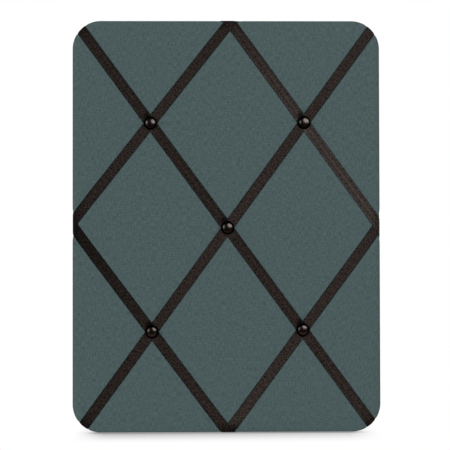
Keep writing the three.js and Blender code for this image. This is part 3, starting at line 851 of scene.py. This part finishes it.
def makeBatting():
    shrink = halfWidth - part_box("batting_pad")[1].x  # from the outline to the batting's own edge
    under = panel["clothThickness"] + battingCut["clearance"]
    rollRun = panel["rollRun"] - shrink
    rise = rollRise - under
    stops = []
    for step in range(battingCut["rollSteps"] + 1):
        stops.append(shrink + rollRun * (1 - math.cos(quarterTurn * step / battingCut["rollSteps"])))
    for step in range(battingCut["crownSteps"]):
        stops.append(panel["rollRun"] + panel["crownRun"] * (step + 1) / battingCut["crownSteps"])
    batting, plans = layGrid("batting_wadding", stops, battingCut)
    for vertex, plan in zip(batting.data.vertices, plans):
        inset = -fromOutline(plan)[0]
        if inset < panel["rollRun"]:
            over = 1 - max(inset - shrink, 0.0) / rollRun
            level = padFoot + (rise - rimDent(plan, inset)) * math.sqrt(max(1 - over * over, 0.0))
        else:
            level = coverLevel(plan) - under - rimDent(plan, inset)
        vertex.co = (plan.x, -level, plan.y)
    chooseAll(batting)
    bpy.ops.mesh.region_to_loop()
    bpy.ops.mesh.edge_face_add()
    leaveEdit()
    smoothShade(batting, battingCut["shadeAngle"])
    return batting


batting = makeBatting()
print("batting laid")


# Ribbons: ribbed bands over the front, wrapped over the edge to their ends under the lining

ribbonStops = edgeStops(ribbonCut, ribbonCut["tail"])
ribbonLengths = lengthsAlong(ribbonStops)
hemStart = ribbonLengths[ribbonStops.index(next(stop for stop in ribbonStops if stop[3] == -1.0))]


def sectionAt(length):
    if length <= ribbonLengths[0]:
        return -length, frontLevel, 0.0, 1.0
    for before, after, near, far in zip(ribbonStops, ribbonStops[1:], ribbonLengths, ribbonLengths[1:]):
        if length <= far:
            share = (length - near) / (far - near)
            return tuple(a + (b - a) * share for a, b in zip(before, after))
    inset, level, outPlan, outLevel = ribbonStops[-1]
    return inset + length - ribbonLengths[-1], level, outPlan, outLevel


def bandPlan(ribbon, station, across):
    return ribbon["start"] + ribbon["run"] * station + ribbon["side"] * across


def foldAt(ribbon, atStop, across):
    # where a line along the ribbon leaves the outline, and the way straight out there
    inside = ribbon["length"] / 2
    radius = panel["cornerRadius"]
    outside = ribbon["length"] + radius if atStop else -radius
    for halving in range(ribbonCut["foldHalvings"]):
        middle = (inside + outside) / 2
        if fromOutline(bandPlan(ribbon, middle, across))[0] < 0:
            inside = middle
        else:
            outside = middle
    point = bandPlan(ribbon, inside, across)
    return {"station": inside, "point": point, "out": fromOutline(point)[1]}


def crossingStation(ribbon, other):
    apart = other["start"] - ribbon["start"]
    return apart.cross(other["run"]) / ribbon["run"].cross(other["run"])


def bandLift(ribbon, station):
    # how far an upper ribbon is raised to pass over the ones that it crosses
    if not ribbon["over"]:
        return 0.0
    lift = 0.0
    for other in ribbons:
        if not other["over"]:
            cosine = abs(ribbon["run"].dot(other["run"]))
            diamond = ribbonCut["width"] / 2 * (1 + cosine) / math.sqrt(1 - cosine * cosine)
            away = abs(station - crossingStation(ribbon, other)) - diamond - ribbonCut["crossingMargin"]
            lift = max(lift, 1 - easeStep(away / ribbonCut["ramp"]))
    return lift * (ribbonCut["thickness"] + ribbonCut["gap"])


def bandHeight(ribbon, station, row, reach):
    # the upper side's height over the cloth; reach is 0 along the middle and 1 at the woven edges
    ribs = math.cos(2 * math.pi * row / ribbonCut["stepsPerRib"]) * (1 - reach ** ribbonCut["ribCurve"])
    height = ribbonCut["gap"] + ribbonCut["thickness"] + bandLift(ribbon, station)
    height += ribbonCut["ribHeight"] / 2 * (ribs - 1)
    return height - ribbonCut["edgeDrop"] * reach ** ribbonCut["edgeCurve"]


def bandLightAndShade(ribbon, station, across):
    # the painted light and shade of the ribbon at a place: sheen along it, shade and light near the tacks, streaks
    # along folds, and shade on the ends
    plan = bandPlan(ribbon, station, across)
    share = min(max(station / ribbon["length"], 0), 1)
    upper, middle, lower = ribbon["lightAndShade"]
    pale = upper + (middle - upper) * min(2 * share, 1) + (lower - middle) * max(2 * share - 1, 0)
    for place in tackPlaces:
        for shadePatch in tackShadePatches:
            away = (plan - place - shadePatch["at"]).length / shadePatch["reach"]
            pale *= 1 + shadePatch["change"] * max(1 - away * away, 0)
    # lengthwise streaks of painted sheen and shade
    turn = 2 * math.pi * across / ribbonCut["streakPitch"] + ribbonCut["streakPhase"]
    turn += ribbonCut["streakWander"] * math.sin(station / ribbonCut["streakDrift"])
    pale *= 1 + ribbon["foldSheen"] * math.cos(turn)
    # painted shade on the ends where they turn over the edge
    turnedShade = easeStep(1 + fromOutline(plan)[0] / ribbonCut["shadeRun"])
    return pale * (1 - ribbon["shaded"][share > 0.5] * turnedShade)


def wrapped(plan, fold, length, height):
    inset, level, outPlan, outLevel = sectionAt(length)
    height -= rimDent(plan, -length) * min(max(outPlan, 0.0) + max(outLevel, 0.0), 1.0)
    place = plan + fold["out"] * (height * outPlan - length - inset)
    return Vector((place.x, -(level + height * outLevel), place.y))


def bandPoint(ribbon, station, across, height, fold, middleFold):
    plan = bandPlan(ribbon, station, across)
    length = (plan - fold["point"]).dot(fold["out"])
    if length < -crownEnd:
        return Vector((plan.x, -(coverLevel(plan) + height), plan.y))
    point = wrapped(plan, fold, length, height)
    if length > hemStart:
        straight = (plan - middleFold["point"]).dot(middleFold["out"])
        share = easeStep((length - hemStart) / ribbonCut["hemBlend"])
        point = point.lerp(wrapped(plan, middleFold, straight, height), share)
    return point


def makeBand(ribbon):
    columns = ribbonCut["columns"]
    half = ribbonCut["width"] / 2
    offsets = [half * (2 * k / columns - 1) for k in range(columns + 1)]
    ends = [[foldAt(ribbon, atStop, across) for across in offsets] for atStop in (False, True)]
    middles = [end[columns // 2] for end in ends]
    # the band's ends lie past the folds by the length of the wrap and the tail
    past = [ribbonLengths[-1] / abs(ribbon["run"].dot(middle["out"])) for middle in middles]
    first, last = middles[0]["station"] - past[0], middles[1]["station"] + past[1]
    rows = round((last - first) / ribbonCut["ribPitch"]) * ribbonCut["stepsPerRib"]
    band, cells = addGrid(ribbon["node"] + "_band", columns, rows)
    places, lightsAndShades = [], []
    for vertex, (column, row) in zip(band.data.vertices, cells):
        station, across = first + (last - first) * row / rows, offsets[column]
        height = bandHeight(ribbon, station, row, abs(across) / half)
        atStop = station > ribbon["length"] / 2
        vertex.co = bandPoint(ribbon, station, across, height, ends[atStop][column], middles[atStop])
        places.append((column / columns, station))
        lightsAndShades.append(bandLightAndShade(ribbon, station, across))
    layMap(band, "bandMap", places)
    noteValues(band, "lightAndShade", lightsAndShades)
    applyModifier(band, "SOLIDIFY", thickness=ribbonCut["thickness"], offset=-1)
    smoothShade(band)
    return band, last - first


bands = []
for ribbon in ribbons:
    band, length = makeBand(ribbon)
    bands.append({"piece": band, "node": ribbon["node"], "length": length})
print("ribbons laced", sum(len(band["piece"].data.polygons) for band in bands), "faces")


# Domed tacks: a pressed head on a nail

tackCut = {
    "height": 0.0059,
    "wall": 0.0009,
    "nailRadius": 0.0009,
    "nailPoint": 0.0025,
    "nailSides": 16,
    "segments": 48,
    "rings": 32,
    "edge": 0.0002,
    "edgeAngle": 50,
    "shadeAngle": 50,
}


def makeTack():
    low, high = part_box(tackNodes[0])
    radius = (high.x - low.x) / 2
    head = addHalfBall(tackNodes[0] + "_dome", radius, tackCut["height"], tackCut, False)
    applyModifier(head, "SOLIDIFY", thickness=tackCut["wall"], offset=-1, use_even_offset=True)
    softenEdges(head, tackCut)
    # the nail runs from inside the head to its point in the core
    stem = (high.y - low.y) - tackCut["wall"] - tackCut["nailPoint"]
    top = tackCut["height"] - tackCut["wall"]
    bpy.ops.mesh.primitive_cylinder_add(
        vertices=tackCut["nailSides"], radius=tackCut["nailRadius"], depth=stem)
    nail = nameNew("nail")
    settle(nail, (0, 0, top - stem / 2))
    choose(nail, "FACE", lambda face: face.center.z < top - stem + hair)
    bpy.ops.mesh.extrude_region_move(TRANSFORM_OT_translate={"value": (0, 0, -tackCut["nailPoint"])})
    bpy.ops.mesh.merge(type="CENTER")
    leaveEdit()
    joinInto(head, [nail])
    # 0 at the crown, 1 at the rim; the finish paints shade by it
    noteValues(head, "rim", [math.hypot(vertex.co.x, vertex.co.y) / radius for vertex in head.data.vertices])
    smoothShade(head, tackCut["shadeAngle"])
    return head


def placeTacks():
    pattern = makeTack()
    heads = [pattern] + [copyOf(pattern, node + "_dome") for node in tackNodes[1:]]
    for head, node, place in zip(heads, tackNodes, tackPlaces):
        rim = -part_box(node)[0].y - tackCut["height"]
        settle(head, (place.x, -rim, place.y), (quarterTurn, 0, 0))
    return heads


tacks = placeTacks()
print("tacks driven")


# Back lining: a felt sheet whose rim is pressed down onto the hem

liningCut = {
    "thickness": 0.0014,
    "cornerRadius": 0.024,
    "cornerSteps": 12,
    "rimRun": 0.012,
    "rimDrop": 0.0011,
    "rimSteps": 4,
    "edge": 0.0004,
    "edgeAngle": 50,
    "shadeAngle": 30,
}
liningLow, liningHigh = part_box("back_lining")
liningSize = (liningHigh.x - liningLow.x, liningHigh.z - liningLow.z)


def makeLining():
    dropSelection()
    bpy.ops.mesh.primitive_plane_add(size=1)
    lining = nameNew("lining_sheet")
    chooseAll(lining)
    bpy.ops.transform.resize(value=(*liningSize, 1), center_override=(0, 0, 0))
    leaveEdit()
    choose(lining, "VERT", lambda vertex: True)
    bpy.ops.mesh.bevel(
        offset=liningCut["cornerRadius"], segments=liningCut["cornerSteps"], affect="VERTICES")
    # rings inside the rim, each a little higher than the one outside it
    bpy.ops.mesh.select_all(action="SELECT")
    rise = 0.0
    for step in range(1, liningCut["rimSteps"] + 1):
        bpy.ops.mesh.inset(thickness=liningCut["rimRun"] / liningCut["rimSteps"], depth=0)
        lift = liningCut["rimDrop"] * easeStep(step / liningCut["rimSteps"])
        bpy.ops.transform.translate(value=(0, 0, lift - rise))
        rise = lift
    leaveEdit()
    applyModifier(lining, "SOLIDIFY", thickness=liningCut["thickness"], offset=-1, use_even_offset=True)
    softenEdges(lining, liningCut)
    settle(lining, (0, liningHigh.y - rise, 0), (-quarterTurn, 0, 0))
    smoothShade(lining, liningCut["shadeAngle"])
    return lining


lining = makeLining()
print("lining glued")


# Hangers: a strap folded round the ring's bar, the D-ring and the screw

ringCut = {
    "wire": 0.0022,
    "wireSteps": 6,
    "sideGap": 0.0006,  # between the strap and the ring's bends
    "bend": 0.0026,
    "bendSteps": 8,
    "depth": 0.023,
    "bowSteps": 32,
    "shadeAngle": 60,
}
strapCut = {
    "sheet": 0.0008,
    "barGap": 0.0003,
    "loopSteps": 24,
    "foldSlit": 0.00012,
    "foldBend": 0.0014,
    "foldAngle": math.radians(60),
    "bendSteps": 6,
    "endRound": 0.98,  # of half the width
    "endSteps": 10,
    "hole": 0.0085,  # from the ring's bar down to the screw
    "holeRadius": 0.0017,
    "holeSides": 32,
    "drillDepth": 0.02,
    "edge": 0.00015,
    "edgeAngle": 40,
}
screwCut = {
    "head": 0.0019,
    "slot": 0.0009,
    "segments": 32,
    "rings": 16,
    "shank": 0.0015,
    "shankSides": 16,
    "point": 0.003,
    "edge": 0.0001,
    "edgeAngle": 35,
}


def strapLine():
    # the folded sheet's mid-line as (height, level towards the wall) seen from the bar's axis
    loop = ringCut["wire"] / 2 + strapCut["barGap"] + strapCut["sheet"] / 2
    fold, bend = strapCut["foldAngle"], strapCut["foldBend"]
    flat = -loop + strapCut["sheet"] + strapCut["foldSlit"]
    line = [(0.0, -loop)]
    sweep = math.pi + fold
    for step in range(1, strapCut["loopSteps"] + 1):
        angle = sweep * step / strapCut["loopSteps"]
        line.append((loop * math.sin(angle), -loop * math.cos(angle)))
    slope = (loop * math.cos(fold) - flat - bend * (1 - math.cos(fold))) / math.sin(fold)
    start = -loop * math.sin(fold) - slope * math.cos(fold)
    for step in range(strapCut["bendSteps"] + 1):
        angle = fold * (1 - step / strapCut["bendSteps"])
        line.append((start - bend * (math.sin(fold) - math.sin(angle)), flat + bend * (1 - math.cos(angle))))
    return line


def makeStrap(side, bar, width):
    line = strapLine()
    end = -(strapCut["hole"] + width / 2)
    line = [(end, line[0][1])] + line + [(end, line[-1][1])]
    dropSelection()
    bpy.ops.mesh.primitive_plane_add(size=width)
    strap = nameNew(f"hanger_strap_{side}_sheet")
    # one edge of the plane is kept as the sheet's start, and the sheet is drawn along its line from there
    choose(strap, "VERT", lambda vertex: vertex.co.y > 0)
    bpy.ops.mesh.delete(type="VERT")
    leaveEdit()
    for vertex in strap.data.vertices:
        vertex.co.y, vertex.co.z = line[0][1], line[0][0]
    choose(strap, "EDGE", lambda edge: True)
    for before, after in zip(line, line[1:]):
        step = (0, after[1] - before[1], after[0] - before[0])
        bpy.ops.mesh.extrude_region_move(TRANSFORM_OT_translate={"value": step})
    leaveEdit()
    choose(strap, "VERT", lambda vertex: abs(vertex.co.z - end) < hair)
    bpy.ops.mesh.bevel(
        offset=width / 2 * strapCut["endRound"], segments=strapCut["endSteps"], affect="VERTICES")
    leaveEdit()
    applyModifier(strap, "SOLIDIFY", thickness=strapCut["sheet"], offset=0, use_even_offset=True)
    bpy.ops.mesh.primitive_cylinder_add(
        vertices=strapCut["holeSides"], radius=strapCut["holeRadius"], depth=strapCut["drillDepth"],
        location=(0, 0, -strapCut["hole"]), rotation=(quarterTurn, 0, 0))
    cutAway(strap, nameNew("drill"))
    softenEdges(strap, strapCut)
    settle(strap, bar)
    smoothShade(strap)
    return strap


def ringLine(barHalf):
    # the D-ring's mid-line, hanging from its bar: two bends and a bow
    bend, depth = ringCut["bend"], ringCut["depth"] - ringCut["bend"]
    wide = barHalf + bend
    points = []
    for step in range(ringCut["bendSteps"] + 1):
        angle = quarterTurn * (1 - step / ringCut["bendSteps"])
        points.append((barHalf + bend * math.cos(angle), bend * (math.sin(angle) - 1)))
    mirrored = [(-x, z) for x, z in reversed(points)]
    for step in range(1, ringCut["bowSteps"]):
        angle = -math.pi * step / ringCut["bowSteps"]
        points.append((wide * math.cos(angle), depth * math.sin(angle) - bend))
    return points + mirrored


def makeRing(side, bar, width):
    points = ringLine(width / 2 + ringCut["sideGap"])
    path = bpy.data.curves.new(f"hanger_ring_{side}_wire", "CURVE")
    path.dimensions = "3D"
    path.bevel_depth = ringCut["wire"] / 2
    path.bevel_resolution = ringCut["wireSteps"]
    spline = path.splines.new("POLY")
    spline.points.add(len(points) - 1)
    spline.use_cyclic_u = True
    for point, (x, z) in zip(spline.points, points):
        point.co = (x, 0, z, 1)
    ring = bpy.data.objects.new(f"hanger_ring_{side}_wire", path)
    scene.collection.objects.link(ring)
    pick(ring)
    bpy.ops.object.convert(target="MESH")
    ring = bpy.context.object
    settle(ring, bar)
    smoothShade(ring, ringCut["shadeAngle"])
    return ring


def makeScrew(side):
    low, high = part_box(f"hanger_screw_{side}")
    radius, height = (high.x - low.x) / 2, screwCut["head"]
    head = addHalfBall(f"hanger_screw_{side}_head", radius, height, screwCut, True)
    bpy.ops.mesh.primitive_cube_add(size=1)
    slot = nameNew("slot")
    slot.scale = (4 * radius, screwCut["slot"], height)
    settle(slot, (0, 0, height))
    cutAway(head, slot)
    softenEdges(head, screwCut)
    length = (high.y - low.y) - height
    stem = length - screwCut["point"]
    bpy.ops.mesh.primitive_cone_add(
        vertices=screwCut["shankSides"], radius1=screwCut["shank"], radius2=0.0, depth=screwCut["point"])
    point = nameNew("point")
    settle(point, (0, 0, screwCut["point"] / 2 - length), (math.pi, 0, 0))
    bpy.ops.mesh.primitive_cylinder_add(
        vertices=screwCut["shankSides"], radius=screwCut["shank"], depth=stem)
    shank = nameNew("shank")
    settle(shank, (0, 0, -stem / 2))
    joinInto(head, [point, shank])
    settle(head, ((low.x + high.x) / 2, high.y - height, (low.z + high.z) / 2), (-quarterTurn, 0, 0))
    smoothShade(head)
    return head


hangers = {}
for joint in frame["joints"]:
    side = joint["child"].split("_")[-1]
    bar = Vector(joint["pos_m"])
    low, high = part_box(f"hanger_strap_{side}")
    width = high.x - low.x
    hangers[side] = {
        "strap": makeStrap(side, bar, width), "ring": makeRing(side, bar, width), "screw": makeScrew(side)}
print("hangers fixed")


# Finishes, each with its colours and sizes; a relief is its depth and its strength

noiseSpan = (0.3, 0.7)  # where most of a noise's values lie

clothLook = {
    "dark": (0.0396, 0.0641, 0.0630),
    "light": (0.0902, 0.1340, 0.1336),
    "mottleSpan": (1.215, 2.035),  # slubs, specks and weave together, from dark to light
    "slub": 0.0012,
    "slubLength": 5,  # times as long as it is thick
    "upright": 1.35,  # upright slubs count for this much, level ones for 1
    "specks": 0.9,
    "weave": 0.08,
    "threadPair": 0.0011,
    "cloud": 0.012,
    "cloudSpan": (0.35, 0.65),
    "cloudTint": (0.07, 0.10, 0.125),
    "cloudShare": 0.12,
    "turnSpan": (-0.85, -0.40),  # painted shade darkens it where it rolls over the edge
    "turnShade": 0.72,
    "slubRelief": 0.5,
    "relief": (0.00008, 0.6),
}


def clothFinish():
    # slate blue-green plain weave with slubs, and painted shade on the rolled edge
    look = clothLook
    finish, tree, shader = newFinish(
        "slate_weave", Roughness=0.92, Specular_IOR_Level=0.15, Sheen_Weight=0.05)
    place = mapPlace(tree, "clothMap")
    threads = []
    for way in ("X", "Y"):
        turn = calculate(tree, "MULTIPLY", partsOf(tree, place)[way], 2 * math.pi / look["threadPair"])
        threads.append(calculate(tree, "SINE", turn))
    weave = calculate(tree, "MULTIPLY", *threads)
    slubAcross = noiseAt(tree, place, look["slub"], roughness=0.6, stretch=(look["slubLength"], 1, 1))
    slubDown = noiseAt(tree, place, look["slub"], roughness=0.6, stretch=(1, look["slubLength"], 1))
    specks = noiseAt(tree, place, look["slub"], detail=3.0, roughness=0.7)
    mottle = calculate(tree, "MULTIPLY_ADD", slubDown, look["upright"], slubAcross)
    mottle = calculate(tree, "MULTIPLY_ADD", specks, look["specks"], mottle)
    mottle = calculate(tree, "MULTIPLY_ADD", weave, look["weave"], mottle)
    colour = mixColours(tree, rangeOf(tree, mottle, look["mottleSpan"]), look["dark"], look["light"])
    cloud = rangeOf(tree, noiseAt(tree, place, look["cloud"]), look["cloudSpan"])
    clouded = mixColours(tree, look["cloudShare"], colour, look["cloudTint"])
    colour = mixColours(tree, cloud, colour, clouded)
    # painted shade where the cloth turns away over the edge
    facing = partsOf(tree, addNode(tree, "ShaderNodeNewGeometry").outputs["Normal"])["Y"]
    colour = dimmed(tree, colour, rangeOf(tree, facing, look["turnSpan"], (1.0, look["turnShade"])))
    height = calculate(tree, "MULTIPLY_ADD", mottle, look["slubRelief"], weave)
    wire(tree, shader, Base_Color=colour, Normal=bumpFrom(tree, height, *look["relief"]))
    return finish


ribbonLook = {
    "plain": (0.0152, 0.0146, 0.0146),  # at the woven edges
    "warm": (0.0218, 0.0136, 0.0101),  # along the middle
    "patch": 0.0034,  # the middle is warm in patches
    "patchShare": (0.30, 1.50),
    "mottle": 0.0042,
    "mottleWeight": 0.3,
    "fleck": 0.0010,
    "fleckLength": 2.2,  # times as long as it is wide
    "speck": 0.0008,
    "speckWeight": 0.6,
    "grainSpan": (0.75, 1.15),  # flecks, mottle and specks together
    "grain": (-1.15, 1.15),
    "edgeSpan": (0.36, 0.5),  # from the middle, in widths
    "edgeShade": 0.62,
    "darkest": 0.08,
    "thread": 0.0007,
    "threadLength": 14,
    "relief": (0.00006, 0.5),
}


def ribbonFinish():
    # dark brown ribbed ribbon, warm along its middle and plain at its woven edges
    look = ribbonLook
    finish, tree, shader = newFinish("brown_grosgrain", Roughness=0.62, Specular_IOR_Level=0.07)
    share = mapPlace(tree, "bandMap")
    size = (ribbonCut["width"], 1, 1)
    place = addNode(tree, "ShaderNodeMapping", {"Vector": share, "Scale": size}).outputs[0]
    mottle = noiseAt(tree, place, look["mottle"], roughness=0.6)
    flecks = noiseAt(tree, place, look["fleck"], detail=1.0, stretch=(1, look["fleckLength"], 1))
    specks = noiseAt(tree, place, look["speck"], detail=1.0)
    threads = noiseAt(tree, place, look["thread"], detail=1.0, stretch=(1, look["threadLength"], 1))
    mixed = calculate(tree, "MULTIPLY_ADD", mottle, look["mottleWeight"], flecks)
    mixed = calculate(tree, "MULTIPLY_ADD", specks, look["speckWeight"], mixed)
    grain = rangeOf(tree, mixed, look["grainSpan"], look["grain"])
    fromMiddle = calculate(tree, "ABSOLUTE", calculate(tree, "SUBTRACT", partsOf(tree, share)["X"], 0.5))
    edge = rangeOf(tree, fromMiddle, look["edgeSpan"], (1.0, look["edgeShade"]))
    # the painted light and shade noted on each band scales its level
    lightAndShade = notedValue(tree, "lightAndShade")
    rootLightAndShade = calculate(tree, "SQRT", lightAndShade)
    level = calculate(tree, "MULTIPLY_ADD", grain, rootLightAndShade, calculate(tree, "MULTIPLY", edge, lightAndShade))
    level = calculate(tree, "MAXIMUM", level, look["darkest"])
    bow = calculate(tree, "MULTIPLY", fromMiddle, fromMiddle)
    middle = calculate(tree, "MULTIPLY_ADD", bow, -4.0, 1.0)  # 1 along the middle, 0 at the edges
    patch = rangeOf(tree, noiseAt(tree, place, look["patch"], roughness=0.6), noiseSpan, look["patchShare"])
    calm = calculate(tree, "MAXIMUM", rootLightAndShade, 1.0)  # pale stretches are less warm
    warm = calculate(tree, "DIVIDE", calculate(tree, "MULTIPLY", middle, patch), calm)
    colour = dimmed(tree, mixColours(tree, warm, look["plain"], look["warm"]), level)
    height = calculate(tree, "ADD", threads, specks)
    wire(tree, shader, Base_Color=colour, Normal=bumpFrom(tree, height, *look["relief"]))
    return finish


bronzeLook = {
    "dark": (0.088, 0.076, 0.070),
    "light": (0.130, 0.113, 0.105),
    "stain": 0.004,
    # painted shade at the rim: near black
    "rim": (0.0020, 0.0006, 0.0004),
    "rimShadeSpan": (0.60, 0.82),  # painted shade darkens it to near black between these shares of the radius
    "edgeOn": (0.10, 0.06, 0.05, 1),  # tint where it is seen edge on
    "polish": 0.0015,
    "roughness": (0.22, 0.28),
}


def bronzeFinish():
    # polished bronze, nearly black, with painted shade darkening it towards the rim
    look = bronzeLook
    finish, tree, shader = newFinish("black_bronze", Metallic=1.0, Specular_Tint=look["edgeOn"])
    place = objectPlace(tree)
    stain = noiseAt(tree, place, look["stain"], detail=3.0, roughness=0.6)
    colour = mixColours(tree, stain, look["dark"], look["light"])
    # painted shade near the rim
    colour = mixColours(tree, rangeOf(tree, notedValue(tree, "rim"), look["rimShadeSpan"]), colour, look["rim"])
    polish = rangeOf(tree, noiseAt(tree, place, look["polish"]), noiseSpan, look["roughness"])
    wire(tree, shader, Base_Color=colour, Roughness=polish)
    return finish


nickelLook = {
    "dark": (0.50, 0.48, 0.43),
    "light": (0.66, 0.645, 0.60),
    "dull": 0.003,
    "line": 0.0003,
    "lineLength": 14,
    "roughness": (0.22, 0.42),
    "relief": (0.00001, 0.5),
}


def nickelFinish():
    # nickel plate with fine drawn lines
    look = nickelLook
    finish, tree, shader = newFinish("nickel_plate", Metallic=1.0)
    place = objectPlace(tree)
    lines = noiseAt(tree, place, look["line"], stretch=(look["lineLength"], 1, 1))
    dull = noiseAt(tree, place, look["dull"], detail=3.0, roughness=0.6)
    colour = mixColours(tree, dull, look["dark"], look["light"])
    wire(tree, shader, Base_Color=colour, Roughness=rangeOf(tree, lines, noiseSpan, look["roughness"]))
    wire(tree, shader, Normal=bumpFrom(tree, lines, *look["relief"]))
    return finish


zincLook = {
    "dark": (0.40, 0.41, 0.42),
    "light": (0.58, 0.59, 0.60),
    "perMetre": 900.0,  # spangles
    "roughness": (0.35, 0.55),
}


def stapleFinish():
    # galvanised wire with a faint spangle
    look = zincLook
    finish, tree, shader = newFinish("zinc_wire", Metallic=1.0)
    cells = addNode(
        tree, "ShaderNodeTexVoronoi", {"Vector": objectPlace(tree), "Scale": look["perMetre"]},
    ).outputs["Distance"]
    colour = mixColours(tree, cells, look["dark"], look["light"])
    wire(tree, shader, Base_Color=colour, Roughness=rangeOf(tree, cells, (0.0, 1.0), look["roughness"]))
    return finish


feltLook = {
    "dark": (0.0095, 0.0100, 0.0115),
    "light": (0.0240, 0.0250, 0.0270),
    "fibre": 0.0016,
    "strand": 0.0007,
    "strandLength": 4,
    "strandWeight": 0.6,
    "cloud": 0.025,
    "cloudWeight": 0.4,
    "mixedSpan": (0.75, 1.25),
    "relief": (0.00035, 0.7),
}


def feltFinish():
    # charcoal pressed felt with matted fibres
    look = feltLook
    finish, tree, shader = newFinish(
        "charcoal_felt", Roughness=0.98, Specular_IOR_Level=0.1, Sheen_Weight=0.12)
    place = objectPlace(tree)
    mixed = noiseAt(tree, place, look["fibre"], detail=4.0, roughness=0.75)
    mixed = calculate(tree, "MULTIPLY_ADD", noiseAt(tree, place, look["cloud"]), look["cloudWeight"], mixed)
    strands = noiseAt(tree, place, look["strand"], roughness=0.6, stretch=(look["strandLength"], 1, 1))
    mixed = calculate(tree, "MULTIPLY_ADD", strands, look["strandWeight"], mixed)
    colour = mixColours(tree, rangeOf(tree, mixed, look["mixedSpan"]), look["dark"], look["light"])
    wire(tree, shader, Base_Color=colour, Normal=bumpFrom(tree, mixed, *look["relief"]))
    return finish


corkLook = {
    "dark": (0.30, 0.165, 0.070),
    "light": (0.55, 0.345, 0.165),
    "perMetre": 420.0,  # granules
    "fleck": 0.002,
    "fleckSpan": (0.62, 0.68),
    "fleckColour": (0.085, 0.045, 0.022),
    "relief": (0.0003, 0.6),
}


def corkFinish():
    # pressed cork granules with dark flecks
    look = corkLook
    finish, tree, shader = newFinish("pressed_cork", Roughness=0.9, Specular_IOR_Level=0.2)
    place = objectPlace(tree)
    granule = addNode(tree, "ShaderNodeTexVoronoi", {"Vector": place, "Scale": look["perMetre"]}).outputs
    shade = addNode(tree, "ShaderNodeSeparateColor", {0: granule["Color"]}).outputs[0]
    colour = mixColours(tree, shade, look["dark"], look["light"])
    flecks = noiseAt(tree, place, look["fleck"], detail=3.0, roughness=0.7)
    colour = mixColours(tree, rangeOf(tree, flecks, look["fleckSpan"]), colour, look["fleckColour"])
    wire(tree, shader, Base_Color=colour, Normal=bumpFrom(tree, granule["Distance"], *look["relief"]))
    return finish


waddingLook = {  # white needled wadding
    "name": "white_wadding", "dull": 1.0, "gloss": 0.05,
    "dark": (0.74, 0.72, 0.66), "light": (0.90, 0.88, 0.83),
    "fibre": 0.004, "detail": 5.0, "uneven": 0.8, "relief": (0.0012, 0.8),
}
boardLook = {  # plain fibreboard
    "name": "fibreboard", "dull": 0.8, "gloss": 0.25,
    "dark": (0.31, 0.185, 0.085), "light": (0.46, 0.295, 0.150),
    "fibre": 0.0012, "detail": 4.0, "uneven": 0.7, "relief": (0.0001, 0.5),
}


def fibreFinish(look):
    finish, tree, shader = newFinish(
        look["name"], Roughness=look["dull"], Specular_IOR_Level=look["gloss"])
    fibres = noiseAt(tree, objectPlace(tree), look["fibre"], look["detail"], look["uneven"])
    colour = mixColours(tree, fibres, look["dark"], look["light"])
    wire(tree, shader, Base_Color=colour, Normal=bumpFrom(tree, fibres, *look["relief"]))
    return finish


finishes = {
    "cover_fabric": clothFinish(),
    "ribbon": ribbonFinish(),
    "tack_bronze": bronzeFinish(),
    "batting": fibreFinish(waddingLook),
    "cork": corkFinish(),
    "fibreboard": fibreFinish(boardLook),
    "lining_felt": feltFinish(),
    "staple_steel": stapleFinish(),
    "hanger_steel": nickelFinish(),
}
slotOf = {entry["node"]: entry["material_slot"] for entry in frame["record"]["subparts"]}


def layFinish(piece, node):
    piece.data.materials.clear()
    piece.data.materials.append(finishes[slotOf[node]])


def dress(piece, node, body="board"):
    # gives a piece its finish, and puts it in the place of its CAD node
    layFinish(piece, node)
    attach(piece, body)
    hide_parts(node)


for node, part in frame["nodes"].items():
    layFinish(part, node)

dress(cover, "fabric_cover")
dress(batting, "batting_pad")
dress(lining, "back_lining")
for band in bands:
    dress(band["piece"], band["node"])
for head, node in zip(tacks, tackNodes):
    dress(head, node)
for side, parts in hangers.items():
    dress(parts["strap"], f"hanger_strap_{side}")
    dress(parts["screw"], f"hanger_screw_{side}")
    dress(parts["ring"], f"hanger_ring_{side}", f"ring_{side}")
print("finishes laid on")
